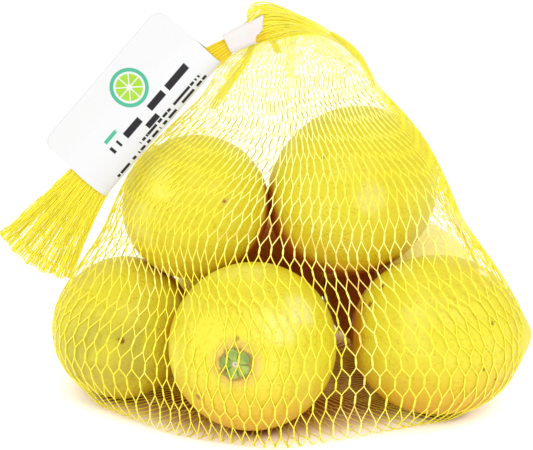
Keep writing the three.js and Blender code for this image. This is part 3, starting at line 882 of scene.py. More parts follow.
def lemon_surface(lemon, seed, rings=92, columns=120):
    """Radius times sine and half length times cosine of the angle from the blossom end, with a
    soft tip, a groove round it, a dimple at the stem end and low waves, all bell curves."""
    rng = np.random.default_rng(seed)
    along, across, other = axes_of(lemon.axis)
    v = pi * np.linspace(0.0, 1.0, rings)[1:-1][:, None]
    u = 2 * pi * np.arange(columns)[None, :] / columns
    lumps = 1e3 * bpy.context.scene.lemon_settings.lump
    step, phase, weight = waves(rng, 6, 4)
    wave = sum(w * np.cos(a * u + p) * np.cos(b * v + q)
               for (a, b), (p, q), w in zip(step, phase, weight))
    wave = lumps * (wave / len(weight) - 0.5) * np.sin(v) ** 2 - 0.12
    tip = max(lemon.nipple, 0.9)
    wall = lemon.radius * np.sin(v) + wave * np.sin(v)
    wall = wall - 0.5 * bell(v, 0.50, 0.12) + 0.35 * bell(v, 0.25, 0.1)
    wall = wall - 0.5 * bell(pi - v, 0.30, 0.16)
    reach = lemon.half * np.cos(v) + wave * np.cos(v)
    reach = reach + (tip * bell(v, 0.0, 0.24) - (tip - lemon.nipple) * bell(v, 0.0, 0.5))
    reach = reach + 1.1 * bell(pi - v, 0.0, 0.15)
    reach = np.broadcast_to(reach, wall.shape)
    spoke = np.cos(u)[..., None] * across + np.sin(u)[..., None] * other
    grid = np.array(lemon.centre) + reach[..., None] * along + wall[..., None] * spoke
    ends = (grid[0].mean(axis=0), grid[-1].mean(axis=0))
    points = np.concatenate([grid.reshape(-1, 3), ends])
    quads = grid_quads(rings - 2, columns, wrap=True)
    j = np.arange(columns)
    k = (j + 1) % columns
    last = (rings - 3) * columns
    tip_at = np.full(columns, len(points) - 2)
    start = np.stack([tip_at, k, j], axis=-1)
    finish = np.stack([tip_at + 1, last + j, last + k], axis=-1)
    uv = np.stack(np.broadcast_arrays(u / (2 * pi), v / pi), axis=-1).reshape(-1, 2)
    uv = np.concatenate([uv, [[0.5, 0.0], [0.5, 1.0]]])
    return points, [quads, np.concatenate([start, finish])], uv


def crevice_shade(lemon, points):
    """How much painted shade a point of a lemon gets, by how crowded it is: close to another
    lemon or the table, or deep inside.
    """
    others = ellipsoids([m for m in LEMONS if m is not lemon])
    near = np.min([np.maximum(distance_to(item, points), 0) for item in others], axis=0)
    normals, offsets = skin()["planes"]
    depth = (offsets[None, :] - points @ normals.T).min(axis=1)
    clear = (1 - 0.75 * np.exp(-near / 1.2)) * (1 - 0.95 * smooth((depth - 20.5) / 12))
    return 1 - clear * (1 - np.exp(-np.maximum(points[:, 2], 0) / 3.2) * 0.95)


def hidden_side(lemon, points):
    """Painted shade on the rear lemons' sides that face each other, in the dark behind the
    front ones.
    """
    x, y = points[:, 0], points[:, 1]
    if lemon.name == "lemon_back_left":
        side = smooth((x + 22) / 8)
    elif lemon.name == "lemon_back_right":
        side = smooth((42 - x) / 8)
    else:
        side = 0.0
    return 0.85 * smooth((52 - y) / 12) * side


def peel_material(lemon):
    """Peel with oil pores, patches, an unripe side and a few ragged marks; painted shade where
    lemons crowd together and on the undersides, painted highlights, and a painted glow of light
    bounced between the lemons.
    """
    s = bpy.context.scene.lemon_settings
    shine = 0.05 if lemon.name == "lemon_back_left" else 0.28
    material, g, shader = new_material(
        "Peel of " + lemon.name, IOR=1.45, Subsurface_Weight=0.18, Subsurface_Scale=0.004,
        Subsurface_Radius=(1.0, 0.45, 0.08), Emission_Strength=0.09, Coat_Weight=0.08,
        Coat_Roughness=0.3, Specular_IOR_Level=shine)
    place = g.place()
    inputs = {"Place": place, "Density": 1.0 / s.pore}
    pores = g.add("ShaderNodeGroup", inputs, node_tree=pores_group())
    patch = g.noise(place, 38.0, 3.0)
    tone = g.mix(g.ramp(patch, 0.52, 0.78), rgba(s.peel), rgba(s.pale))
    tone = g.mix(g.math("MULTIPLY", g.ramp(patch, 0.46, 0.22), 0.7), tone, rgba(s.deep))
    tone = g.mix(g.math("MULTIPLY", pores.outputs["Dimple"], 0.45), tone, rgba(s.deep))
    blotch = g.ramp(g.noise(place, 75.0, 4.0, 0.6), 0.35, 0.62)
    green = g.math("MULTIPLY", g.attribute("unripe"), g.ramp(blotch, 0.0, 1.0, 0.55, 1.0))
    tone = g.mix(green, tone, rgba(s.unripe))
    ragged = g.math("MULTIPLY_ADD", g.noise(place, 620.0, 3.0, 0.65), 3.4, -1.7)
    away = g.math("ADD", g.attribute("stem"), ragged)
    tone = g.mix(g.ramp(away, 10.0, 5.2, 0.0, 0.6), tone, rgba(s.halo))
    tone = g.mix(g.ramp(away, 6.0, 5.0, 0.0, 0.65), tone, rgba(s.mark))
    # Painted shade: the undersides turn orange.
    tone = g.mix(g.attribute("low"), tone, rgba(s.ripe))
    # Painted shade: dark red-brown where lemons crowd together and deeper in the pile.
    crowded = g.attribute("crevice_shade")
    tone = g.mix(g.ramp(crowded, 0.15, 0.9, 0.0, 0.85), tone, rgba(s.crevice_shade))
    tone = g.mix(g.ramp(crowded, 0.45, 1.0, 0.0, 0.95), tone, rgba(s.dark))
    # Marks of the peel, and spots of painted shade, painted highlight and painted light.
    for centre, radius, strength, kind in MARKS[lemon.name]:
        centre = (np.array(centre) - BOX_CENTRE) * MM
        inputs = {"Place": place, "Centre": tuple(centre), "Radius": radius * MM}
        spot = g.add("ShaderNodeGroup", inputs, node_tree=spot_group())
        strong = g.math("MULTIPLY", spot.outputs["Mask"], strength)
        tone = g.mix(strong, tone, rgba(getattr(s, kind)))
    # Painted glow of bounced light, deeper red where lemons crowd together.
    light = g.mix(g.ramp(crowded, 0.3, 0.95), rgba(s.bounce_glow), rgba(s.deep_bounce_glow))
    g.feed(shader, Base_Color=tone, Emission_Color=light,
           Roughness=g.ramp(patch, 0.3, 0.7, 0.36, 0.46))
    g.feed_bump(shader, pores.outputs["Height"], 0.7, 0.0003)
    return material


class LEMONNET_OT_lemons(Operator):
    """Build the seven lemons"""
    bl_idname = "lemon_net.lemons"
    bl_label = "Lemons"

    def execute(self, context):
        for i, lemon in enumerate(LEMONS):
            points, polygons, uv = lemon_surface(lemon, LEMON_SEED + i)
            offset = points - np.array(lemon.centre)
            stem = np.array(lemon.centre) - unit(lemon.axis) * lemon.half
            facing = offset @ unit((0.1, -0.75, -0.65)) / lemon.radius
            under = smooth((-offset[:, 2] / lemon.radius + 0.15) / 0.95) * (1 - lemon.unripe)
            values = {
                # Painted shade where lemons crowd together, and on the rear lemons' hidden sides.
                "crevice_shade": np.maximum(crevice_shade(lemon, points), hidden_side(lemon, points)),
                "unripe": lemon.unripe * smooth((facing + 0.25) / 0.9),
                "stem": np.linalg.norm(points - stem, axis=1),
                # Painted shade: how far the underside turns orange, more for lemons on the table.
                "low": under * (0.95 if lemon.centre[2] < LOW_CENTRE else 0.4),
            }
            add_piece(lemon.name, points, polygons, peel_material(lemon), ["net"], uv, values)
        return {"FINISHED"}


def stem_material():
    """A green button, worn and mottled, dark in its grooves and at its rim, pale in the middle, and
    painted in shade where it lies deep between the lemons.
    """
    s = bpy.context.scene.lemon_settings
    material, g, shader = new_material("Stem button", Roughness=0.6)
    place = g.place()
    edge = g.attribute("edge")
    worn = g.ramp(g.noise(place, 700.0, 3.0), 0.35, 0.7)
    mottled = g.ramp(g.noise(place, 190.0, 1.0), 0.42, 0.6)
    tone = g.mix(mottled, rgba(s.calyx), rgba(s.calyx_pale))
    tone = g.mix(g.math("MULTIPLY", worn, 0.3), tone, rgba(s.calyx_worn))
    tone = g.mix(g.math("MULTIPLY", g.attribute("groove"), 0.8), tone, rgba(s.calyx_groove))
    tone = g.mix(g.ramp(edge, 0.84, 1.0), tone, rgba(s.calyx_rim))
    tone = g.mix(g.ramp(edge, 0.2, 0.12), tone, rgba(s.calyx_middle))
    # Painted shade where the button lies deep between the lemons.
    tone = g.mix(g.ramp(g.attribute("crevice_shade"), 0.08, 0.4), tone, rgba(s.dark))
    g.feed(shader, Base_Color=tone)
    g.feed_bump(shader, worn, 0.5, 0.0004)
    return material


def stem_button(lemon, seed, rings=16, columns=80):
    """A button of five round lobes: radius 0.86 + 0.14 |cos 2.5a|^0.6 with a ragged rim, domed,
    grooved between its lobes, hollow in the middle, and closed underneath."""
    rng = np.random.default_rng(seed)
    along, across, other = axes_of(lemon.axis)
    size = 5.3 if lemon.name == "lemon_low_front" else rng.uniform(3.4, 4.2)
    a = 2 * pi * np.arange(columns)[None, :] / columns + rng.uniform(0, 1)
    lobe = np.abs(np.cos(2.5 * a))
    lobes = 0.86 + 0.14 * lobe ** 0.6 + 0.02 * rng.normal(size=(1, columns))
    share = np.linspace(0.04, 1.0, rings)[:, None]
    radius = size * share * lerp(1.0, lobes, share)
    groove = bell(lobe, 0.0, 0.22) * smooth((share - 0.1) / 0.4)
    high = np.sqrt(np.maximum(1.02 - share ** 2, 0)) - 0.4 * groove
    high = high - 0.5 * bell(share, 0.0, 0.14) + 0.25 * bell(share, 0.6, 0.2)
    spread = radius[..., None] * (np.cos(a)[..., None] * across + np.sin(a)[..., None] * other)
    at = np.array(lemon.centre) - along * (lemon.half - 1.3)
    top = at - high[..., None] * along + spread
    under = at + 1.6 * along + spread
    points = np.concatenate([top, under[::-1]]).reshape(-1, 3)
    points = np.concatenate([points, [top[0].mean(axis=0)], [under[0].mean(axis=0)]])
    edge = np.concatenate([np.broadcast_to(share, high.shape), np.ones_like(high)]).ravel()
    groove = np.concatenate([groove, np.zeros_like(groove)]).ravel()
    j = np.arange(columns)
    k = (j + 1) % columns
    last = (2 * rings - 1) * columns
    middle = np.full(columns, len(points) - 2)
    fan = np.stack([middle, k, j, middle], axis=-1)
    bottom = np.stack([middle + 1, last + j, last + k, middle + 1], axis=-1)
    quads = np.concatenate([grid_quads(2 * rings, columns, wrap=True), fan, bottom])
    return points, quads, (np.append(edge, [0.0, 1.0]), np.append(groove, [0.0, 0.0]))


class LEMONNET_OT_stems(Operator):
    """Build the green stem buttons"""
    bl_idname = "lemon_net.stems"
    bl_label = "Stem buttons"

    def execute(self, context):
        clouds, polygons, values, first = [], [], [], 0
        for i, lemon in enumerate(LEMONS):
            points, quads, value = stem_button(lemon, BUTTON_SEED + i)
            clouds.append(points)
            polygons.append(quads + first)
            # Painted shade of each button, as on its lemon.
            values.append((*value, crevice_shade(lemon, points)))
            first += len(points)
        values = {key: np.concatenate([v[k] for v in values]) for k, key in
                  enumerate(("edge", "groove", "crevice_shade"))}
        add_piece("stem_buttons", np.concatenate(clouds), [np.concatenate(polygons)],
                  stem_material(), ["net"], values=values)
        return {"FINISHED"}


# ---------- net ----------

def knots(first, last, strand):
    """The knots that strands pass: their columns and rows, and the side that a strand lies on.
    Strand i swings to i + 1/2 and i - 1/2 in turn, so neighbours meet at every knot. Knots stray
    by single draws and by slow waves, sums of products of sines."""
    s = bpy.context.scene.net_settings
    end = skin()["ends"][-1]
    count, rows = s.strands, end + 2
    rng = np.random.default_rng(s.seed)
    around = 2 * pi * np.arange(count)[None, :] / count
    up = 2 * pi * np.arange(rows)[:, None] / WAVE_ROWS

    def field(parts, top):
        step, phase, weight = waves(rng, parts, top)
        return sum(w * np.sin(a * around + p) * np.sin(b * up + q)
                   for (a, b), (p, q), w in zip(step, phase, weight)) / parts ** 0.5

    stray = s.uneven * (rng.normal(size=(rows, count)) + STRAY_WAVE * field(6, 9))
    slip = SLIP_KNOT * rng.normal(size=(rows, count)) + SLIP_WAVE * field(8, 12)
    slip[:2] = slip[end:] = 0.0
    row = np.arange(first, last + 1)[None, :]
    sign = np.where((strand + row) % 2 == 0, 1.0, -1.0)
    knot = (strand + (sign - 1) / 2).astype(int) % count
    return strand + 0.5 * sign + stray[row, knot], row + slip[row, knot], sign


def shades(place, outward, along, tail):
    """Masks of the strands' painted light and shade: near a lemon, over a gap where no lemon lies
    behind at any of the depths, and in the shade under the bag."""
    high = place[..., 2]
    away = np.min([distance_to(item, place) for item in ellipsoids()], axis=0)
    near = np.maximum(np.exp(-np.maximum(away - NEAR_LEMON, 0) / NEAR_LEMON), tail)
    behind = np.min([distance_to(item, place - outward * depth) for item in ellipsoids()
                     for depth in GAP_DEPTHS], axis=0)
    gap = smooth(behind / 2.5) * (1 - smooth((high - 66) / 10)) * (1 - tail)
    gap = gap * smooth((high - 3) / 9)
    return {"near": near, "gap": gap, "shade": 1 - smooth((along - 3.2) / 3)}


def knit(first, last, strands, steps):
    """Strands from one row of knots to another. From knot to knot a strand lies beside its
    neighbour for the knot's length, swings across by a smooth step, and lies beside the other."""
    s = bpy.context.scene.net_settings
    data = skin()
    strand = np.asarray(strands)[:, None]
    column, along, sign = knots(first, last, strand)
    share = np.linspace(0, 1, steps, endpoint=False)
    spread = sample(data["wide"], along * FINE, column * COLUMNS / s.strands)[..., 0]
    held = s.knot + WIDE_KNOT * smooth((spread - WIDE_FROM) / WIDE_REACH)
    held, next_held = held[:, :-1, None], held[:, 1:, None]
    swing = np.clip((share - held) / (1 - held - next_held), 0, 1)
    swing = lerp(swing, smooth(swing), SWING_SMOOTH)
    together = np.minimum(share / (held + KNOT_FADE), (1 - share) / (next_held + KNOT_FADE))
    together = (1 - smooth(together)).reshape(len(strand), -1)

    def between(values, weight):
        inner = values[:, :-1, None] + (values[:, 1:] - values[:, :-1])[..., None] * weight
        return np.concatenate([inner.reshape(len(values), -1), values[:, -1:]], axis=1)

    column = between(column, swing) * COLUMNS / s.strands
    along = between(along, share)
    apart = between(-sign, swing)
    place, outward, wide = (sample(data[key], along * FINE, column)
                            for key in ("sheet", "outward", "wide"))
    outward, wide = unit(outward), wide[..., 0]
    tangent = unit(np.gradient(place, axis=1))
    sideways = unit(np.cross(outward, tangent))
    outward = np.cross(tangent, sideways)
    slim = lerp(s.slim, 1.0, smooth((wide - 0.5) / 1.6))
    tail = smooth((along - data["ends"][2]) / 5)
    half_width = (slim + TAIL_WIDER * tail) * s.width / MM / 2
    half_height = slim * s.height / MM / 2
    crowd = np.clip((2 * half_width / np.maximum(wide, 1e-3) - CROWD_FROM) / CROWD_REACH, 0, 1)
    crowd = crowd * (1 - 0.1 * tail)
    layer = ((strand * 37) % LAYERS) / LAYERS
    place = place + outward * (half_height - LAYER_DEPTH * layer * crowd)[..., None]
    place = place + sideways * (apart * half_width * 0.72 * (1 - crowd))[..., None]
    place[..., 2] = np.maximum(place[..., 2], half_height + 0.03)
    values = {"knot": np.concatenate([together, np.ones((len(strand), 1))], axis=1),
              "crowd": crowd, **shades(place, outward, along, tail)}
    return place, sideways, outward, half_width, half_height, values


def net_material():
    """Knitted plastic with a painted glow, made once for all the strands."""
    s = bpy.context.scene.net_settings
    made = bpy.data.materials.get("Knitted plastic")
    if made:
        return made
    made, g, shader = new_material(
        "Knitted plastic", IOR=1.49, Subsurface_Weight=0.4, Subsurface_Scale=0.001,
        Subsurface_Radius=(1.0, 0.8, 0.2), Coat_Weight=0.1, Coat_Roughness=0.2,
        Emission_Strength=0.41)
    inputs = {"Place": g.place()}
    inputs.update({key.capitalize(): g.attribute(key) for key in STRAND_MASKS})
    inputs.update({key.capitalize(): rgba(getattr(s, key)) for key in STRAND_COLOURS})
    strand = g.add("ShaderNodeGroup", inputs, node_tree=strand_group()).outputs
    g.feed(shader, Base_Color=strand["Colour"], Emission_Color=strand["Light"],
           Roughness=strand["Roughness"])
    return made


def add_strands(name, made, sides):
    """Strands as one piece, from what knit or fold_strands returns."""
    place, sideways, outward, half_width, half_height, values = made
    points, polygons = tubes(place, sideways, outward, half_width, half_height, sides)
    values = {key: np.repeat(v.ravel(), sides) for key, v in values.items()}
    add_piece(name, points, polygons, net_material(), ["net"], values=values)


class LEMONNET_OT_bag(Operator):
    """Build the bag's strands, under the lemons and around them"""
    bl_idname = "lemon_net.bag"
    bl_label = "Net bag"

    def execute(self, context):
        count = context.scene.net_settings.strands
        top = skin()["ends"][1]
        back, front = np.arange(count // 2), np.arange(count // 2, count)
        add_strands("net_under", knit(0, UNDER_ROWS, np.arange(count), 5), 4)
        add_strands("net_bag_back", knit(UNDER_ROWS, top, back, 6), 5)
        add_strands("net_bag_front", knit(UNDER_ROWS, top, front, 7), 5)
        return {"FINISHED"}


def front_of(x, z):
    """How far forward the net's surface lies at places of the hanging plane: the mean of its front
    points near them, weighed by a bell curve."""
    tent = skin()["ends"][1] * FINE
    part = slice(tent - FOLD_BELOW, tent + FOLD_ABOVE)
    points = skin()["sheet"][part][skin()["outward"][part][..., 1] < FOLD_FRONT]
    away = (x.ravel()[:, None] - points[:, 0]) ** 2 + (z.ravel()[:, None] - points[:, 2]) ** 2
    weight = np.exp(-(away - away.min(axis=1, keepdims=True)) / (2 * FOLD_BLUR ** 2))
    return ((weight * points[:, 1]).sum(axis=1) / weight.sum(axis=1)).reshape(x.shape)


def fold_strands():
    """Bundles of strands that lie in folds on the hood. Each strand runs between a fold's two edges,
    both cubic Beziers, with a slow wave across, and sinks into the net at its end."""
    s = bpy.context.scene.net_settings
    rng = np.random.default_rng(s.seed + 1)
    t = np.linspace(0, 1, FOLD_STEPS)
    rows, warm, near = [], [], []
    for count, thick, first, second in FOLDS:
        share = (np.arange(count) + rng.uniform(0.2, 0.8, count)) / count
        phase = rng.uniform(0, 2 * pi, count)[:, None]
        share = np.clip(share[:, None] + FOLD_WAVE * np.sin(2 * pi * t + phase), 0, 1)[..., None]
        path = lerp(bezier(np.array(second), t)[None], bezier(np.array(first), t)[None], share)
        arch = np.sin(pi * np.clip(t + 0.1, 0, 1)) ** 0.5
        lift = 0.3 + thick * rng.uniform(0, 1, count)[:, None] * arch
        lift = lerp(lift, -FOLD_SUNK, smooth((t - 0.86) / 0.14))
        x, z = path[..., 0], path[..., 1]
        rows.append(np.stack([x, front_of(x, z) - lift, z], -1))
        warm.append(0.5 + 0.5 * (1 - share[..., 0]) ** 1.5 * (1 - smooth(t / 0.3)))
        near.append(np.minimum(rng.uniform(0.8, 1.15, count), 1.0)[:, None] + 0 * t)
    place = np.concatenate(rows)
    tangent = unit(np.gradient(place, axis=1))
    sideways = unit(np.cross((0.0, -1.0, 0.0), tangent))
    half = 0.5 * s.slim * s.width / MM * np.ones(place.shape[:2])
    values = {"knot": 0 * half, "crowd": np.concatenate(warm), "near": np.concatenate(near),
              "gap": 0 * half, "shade": 0 * half}
    return place, sideways, np.cross(tangent, sideways), half, half, values


class LEMONNET_OT_neck(Operator):
    """Build the strands of the hood, the neck and the tail"""
    bl_idname = "lemon_net.neck"
    bl_label = "Net neck and tail"

    def execute(self, context):
        count = context.scene.net_settings.strands
        _, tent, hood, last = skin()["ends"]
        add_strands("net_hood", knit(tent, hood + 1, np.arange(count), 9), 5)
        add_strands("net_folds", fold_strands(), 4)
        add_strands("net_tail", knit(hood + 1, last, np.arange(count), 6), 4)
        return {"FINISHED"}


# ---------- label and clip ----------

def label_section(s, shrink, count=34):
    """The label's front and back leaf at a distance s along the fold: two leaves stuck together,
    swollen by a cosine step where they wrap the neck, and rounded at the fold. The wall's inner
    side shrinks by its thickness."""
    down = -np.array([cos(LABEL_SLOPE), sin(LABEL_SLOPE)])
    aside = np.array([down[1], -down[0]])
    fold = np.array(LABEL_AT)
    t = np.linspace(0, 1, 401)
    line = neck_place(t)[0] - fold
    k = np.argmin(np.abs(line @ down - s))
    q = (line @ aside)[k]
    swell = lerp(NECK_THICK, TAIL_THICK, smooth(t[k])) + LABEL_SWELL - shrink
    cut = max(LABEL_CORNER - min(s, LABEL_LENGTH - s), 0.0)
    width = LABEL_WIDTH - LABEL_CORNER + np.sqrt(LABEL_CORNER ** 2 - cut ** 2)
    run = neck_half(t[k]) + LABEL_EASE
    at = shrink + (width - shrink) * (1 - np.cos(np.linspace(0, pi / 2, count)))
    inner = swell * np.sqrt(np.maximum(1 - np.minimum((q - at) / (q - shrink), 1.0) ** 2, 0))
    stuck = LABEL_HALF - shrink
    outer = lerp(stuck, swell, 0.5 + 0.5 * np.cos(pi * np.clip((at - q) / run, 0, 1)))
    half = np.where(at < q, inner, outer)
    flat = fold + down * s + aside * at[:, None]
    return hang(flat[:, 0], flat[:, 1], half), hang(flat[:, 0], flat[:, 1], -half), at


def printed_paper():
    """White paper with a plain round motif of ring and segments, and bars for lines of print."""
    s = bpy.context.scene.label_settings
    material, g, shader = new_material("Printed paper", Roughness=0.5, Specular_IOR_Level=0.25)
    uv = g.add("ShaderNodeUVMap", uv_map="UVMap").outputs[0]
    x, y, _ = g.add("ShaderNodeSeparateXYZ", {0: uv}).outputs

    def inside(value, low, high, soft=0.12):
        rise, fall = g.ramp(value, low - soft, low + soft), g.ramp(value, high + soft, high - soft)
        return g.math("MULTIPLY", rise, fall)

    fibre = g.noise(g.place(), 900.0, 4.0)
    fibres = g.math("MULTIPLY", g.ramp(fibre, 0.3, 0.7), 0.05)
    tone = g.mix(fibres, rgba(s.paper), rgba(s.fibre))
    dx, dy = (g.math("SUBTRACT", axis, middle) for axis, middle in zip((x, y), MOTIF_CENTRE))
    radius = g.math("SQRT", g.math("ADD", g.math("MULTIPLY", dx, dx), g.math("MULTIPLY", dy, dy)))
    turn = g.math("MULTIPLY", g.math("ARCTAN2", dy, dx), 4.0)
    gap = g.math("MULTIPLY", g.math("ABSOLUTE", g.math("SINE", turn)), radius)
    segment = g.math("MULTIPLY", inside(radius, *MOTIF_FRUIT), g.ramp(gap, 0.5, 1.0))
    tone = g.mix(inside(radius, *MOTIF_RING), tone, rgba(s.teal))
    tone = g.mix(segment, tone, rgba(s.lime))
    for k, (middle, high, low_x, high_x, beat, ink) in enumerate(PRINT_BARS):
        row = inside(y, middle - high / 2, middle + high / 2)
        row = g.math("MULTIPLY", row, inside(x, low_x, high_x))
        at = g.add("ShaderNodeCombineXYZ", {0: g.math("MULTIPLY", x, beat), 1: 3.7 * k + 1.0})
        word = g.ramp(g.noise(at.outputs[0], 0.55, 0.0), 0.40, 0.43)
        tone = g.mix(g.math("MULTIPLY", row, word), tone, rgba(getattr(s, ink)))
    g.feed(shader, Base_Color=tone)
    g.feed_bump(shader, fibre, 0.15, 0.0001)
    return material


class LEMONNET_OT_label(Operator):
    """Build the folded label"""
    bl_idname = "lemon_net.label"
    bl_label = "Label"

    def execute(self, context):
        leaf = context.scene.label_settings.thickness / MM
        stations = LABEL_LENGTH * (1 - np.cos(np.linspace(0, pi, 60))) / 2
        rows, uv = [], []
        for s in stations:
            front, back, at = label_section(s, 0.0)
            front_in, back_in, _ = label_section(s, leaf)
            rows.append(np.concatenate([front[::-1], back[1:], back_in[:0:-1], front_in]))
            reach = np.concatenate([at[::-1], -at[1:], -at[:0:-1], at])
            uv.append(np.stack([np.full(len(reach), s), reach], axis=-1))
        around = len(rows[0])
        grid = np.stack(rows)
        half = around // 2
        i = np.arange(half - 1)
        cap = np.stack([i, i + 1, around - 2 - i, around - 1 - i], axis=-1)
        last = (len(rows) - 1) * around
        wall = grid_quads(len(rows), around, wrap=True)
        polygons = [np.concatenate([wall, cap[:, ::-1], cap + last])]
        add_piece("folded_label", grid, polygons, printed_paper(), ["label"], np.stack(uv))
        return {"FINISHED"}


def squared(v):
    """Squares off a sine or cosine: its sign times its size to the power 0.6."""
    return np.sign(v) * np.abs(v) ** 0.6


def clip_wall(wall, inset):
    """The clip's outer wall, or its inner one, inset by the wall: squared ovals between its low
    and its high side, with a step at its mouth and a low swelling along it."""
    share = np.linspace(0, 1, CLIP_LOOPS)
    turn = 2 * pi * np.arange(CLIP_POINTS) / CLIP_POINTS
    low = lerp(CLIP_LOW[0], CLIP_LOW[1], share[:, None])
    high = lerp(CLIP_HIGH[0], CLIP_HIGH[1], share[:, None])
    across = unit(high - low)
    low, high = low + across * inset, high - across * inset
    lip = CLIP_LIP * (1 - np.abs(2 * share - 1) ** 12)[:, None] if inset == 0.0 else 0.0
    side = 0.5 + 0.5 * squared(np.cos(turn))[None, :, None]
    at = low[:, None] + (high - low)[:, None] * side
    step = CLIP_STEP * (smooth((side - 0.27) / 0.15) - side)
    step = step * smooth((share - 0.4) / 0.6)[:, None, None]
    at = at + unit(CLIP_HIGH[1] - CLIP_HIGH[0]) * step
    thick = NECK_THICK + CLIP_PROUD + wall - inset + lip
    return hang(at[..., 0], at[..., 1], -thick * squared(np.sin(turn))[None, :])


def clip_material():
    """Milky moulded plastic with faint flow patches."""
    s = bpy.context.scene.clip_settings
    material, g, shader = new_material("Moulded clip", Roughness=0.32, Subsurface_Weight=0.3,
                                       Subsurface_Scale=0.002)
    patch = g.noise(g.place(), 160.0, 2.0)
    patches = g.math("MULTIPLY", g.ramp(patch, 0.35, 0.7), 0.3)
    g.feed(shader, Base_Color=g.mix(patches, rgba(s.tone), rgba(s.patch)))
    g.feed_bump(shader, patch, 0.2, 0.0003)
    return material


class LEMONNET_OT_clip(Operator):
    """Build the clip"""
    bl_idname = "lemon_net.clip"
    bl_label = "Clip"

    def execute(self, context):
        wall = context.scene.clip_settings.wall / MM
        outer, inner = clip_wall(wall, 0.0), clip_wall(wall, wall)
        grid = np.concatenate([outer, inner[::-1]])
        j = np.arange(CLIP_POINTS)
        k = (j + 1) % CLIP_POINTS
        last = (len(grid) - 1) * CLIP_POINTS
        close = np.stack([last + j, last + k, k, j], axis=-1)
        polygons = [np.concatenate([grid_quads(len(grid), CLIP_POINTS, wrap=True), close])]
        add_piece("neck_clip", grid, polygons, clip_material(), ["closure_clip"])
        return {"FINISHED"}


# ---------- stage ----------

def add_light(name, power, size, at, to=(0.0, 0.0, 0.05)):
    """A round soft light that faces a point."""
    light = bpy.data.lights.new(name, "AREA")
    light.energy = power
    light.shape = "DISK"
    light.size = size
    lamp = bpy.data.objects.new(name, light)
    bpy.context.scene.collection.objects.link(lamp)
    back = unit(np.array(at) - np.array(to))
    across = unit(np.cross((0.0, 0.0, 1.0), back))
    up = np.cross(back, across)
    rows = [[across[i], up[i], back[i], at[i]] for i in range(3)]
    lamp.matrix_world = Matrix(rows + [[0, 0, 0, 1]])


def floor_material():
    """Pale floor with a painted warm shadow under the bag, an ellipse with a painted warm edge, and a
    painted contact shadow under each lemon that lies on it. Its painted glow is a factor that falls
    towards the shadow's middle, and is none at the contact shadows."""
    s = bpy.context.scene.stage_settings
    material, g, shader = new_material("Floor", Roughness=0.7, Specular_IOR_Level=0.12,
                                       Emission_Strength=s.glow)
    place = g.place()
    x, y, _ = g.add("ShaderNodeSeparateXYZ", {0: place}).outputs
    y = g.math("SUBTRACT", y, SHADOW_MIDDLE)
    across, deep = (g.math("POWER", g.math("DIVIDE", axis, half), 2.0)
                    for axis, half in zip((x, y), SHADOW_HALF))
    away = g.math("SQRT", g.math("ADD", across, deep))
    # Painted contact shadow under each lemon that lies on the table.
    touch = 0.0
    for lemon in LEMONS:
        if lemon.centre[2] < LOW_CENTRE:
            foot = (np.array([*lemon.centre[:2], 0.0]) - BOX_CENTRE) * MM
            apart = g.distance(place, tuple(foot))
            touch = g.math("MAXIMUM", touch, g.ramp(apart, CONTACT_SHADOW_RADII[1], CONTACT_SHADOW_RADII[0]))
    # Painted shadow: a warm edge, then dark under the bag and at the contact shadows.
    tone = g.mix(g.ramp(away, 1.05, 0.8), rgba(s.floor), rgba(s.warm_shadow_edge))
    tone = g.mix(g.math("MAXIMUM", touch, g.ramp(away, 0.95, 0.55)), tone, rgba(s.shade))
    # Painted glow, rising away from the bag and none at the contact shadows.
    light = BLACK
    for low, high, level in FLOOR_GLOW:
        light = g.mix(g.ramp(away, low, high), light, (level, level, level, 1.0))
    g.feed(shader, Base_Color=tone, Emission_Color=g.mix(touch, light, BLACK))
    return material


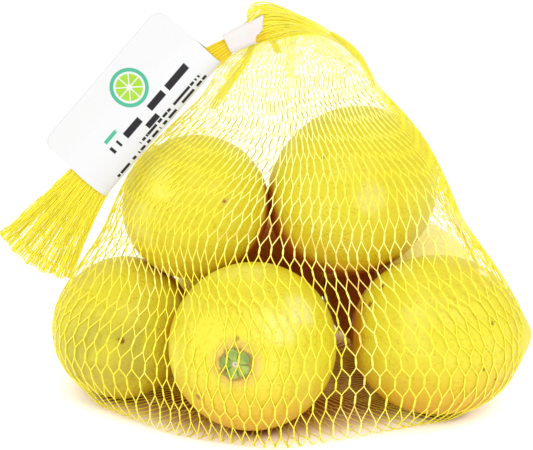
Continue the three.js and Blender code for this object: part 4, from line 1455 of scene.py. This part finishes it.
class LEMONNET_OT_stage(Operator):
    """Build the floor, the lights and the camera"""
    bl_idname = "lemon_net.stage"
    bl_label = "Stage"

    def execute(self, context):
        s = context.scene.stage_settings
        mesh = bpy.data.meshes.new("floor")
        corners = [(x * FLOOR_REACH, y * FLOOR_REACH, 0)
                   for x, y in ((-1, -1), (1, -1), (1, 1), (-1, 1))]
        mesh.from_pydata(corners, [], [(0, 1, 2, 3)])
        mesh.materials.append(floor_material())
        floor = bpy.data.objects.new("floor", mesh)
        context.scene.collection.objects.link(floor)
        add_light("key", s.key, 0.7, (0.3, -0.7, 0.95))
        add_light("fill", s.fill, 0.9, (-0.8, -0.5, 0.5))
        world = bpy.data.worlds.new("surroundings")
        world.use_nodes = True
        background = world.node_tree.nodes["Background"]
        background.inputs[0].default_value = WHITE
        background.inputs[1].default_value = s.sky
        context.scene.world = world
        lens = bpy.data.cameras.new("camera")
        lens.sensor_width = 36.0
        lens.sensor_fit = "HORIZONTAL"
        lens.lens = s.lens
        lens.clip_start, lens.clip_end = 0.02, 20.0
        camera = bpy.data.objects.new("camera", lens)
        context.scene.collection.objects.link(camera)
        camera.location = (np.array(CAMERA_AT) - BOX_CENTRE) * MM
        camera.rotation_euler = (CAMERA_TURN, 0.0, 0.0)
        context.scene.camera = camera
        context.scene.view_settings.view_transform = "Standard"
        return {"FINISHED"}


# ---------- add-on ----------

class LEMONNET_PT_panel(Panel):
    """Buttons that build the pieces"""
    bl_label = "Net of lemons"
    bl_idname = "LEMONNET_PT_panel"
    bl_space_type = "VIEW_3D"
    bl_region_type = "UI"
    bl_category = "Lemon net"

    def draw(self, context):
        for made in OPERATORS:
            self.layout.operator(made.bl_idname)
        for key, _ in SETTINGS:
            self.layout.label(text=key.replace("_", " ").capitalize())
            box = self.layout.box()
            settings = getattr(context.scene, key)
            for name in settings.bl_rna.properties.keys():
                if name not in ("rna_type", "name"):
                    box.prop(settings, name)


OPERATORS = (LEMONNET_OT_stage, LEMONNET_OT_lemons, LEMONNET_OT_stems, LEMONNET_OT_bag,
             LEMONNET_OT_neck, LEMONNET_OT_label, LEMONNET_OT_clip)
SETTINGS = (("lemon_settings", LemonSettings), ("net_settings", NetSettings),
            ("label_settings", LabelSettings), ("clip_settings", ClipSettings),
            ("stage_settings", StageSettings))


def register():
    for key, made in SETTINGS:
        bpy.utils.register_class(made)
        setattr(bpy.types.Scene, key, PointerProperty(type=made))
    for made in (*OPERATORS, LEMONNET_PT_panel):
        bpy.utils.register_class(made)


def unregister():
    for made in (LEMONNET_PT_panel, *reversed(OPERATORS)):
        bpy.utils.unregister_class(made)
    for key, made in reversed(SETTINGS):
        delattr(bpy.types.Scene, key)
        bpy.utils.unregister_class(made)


def main():
    """Builds everything in order."""
    register()
    for made in OPERATORS:
        family, name = made.bl_idname.split(".")
        getattr(getattr(bpy.ops, family), name)()


if __name__ == "__main__":
    main()
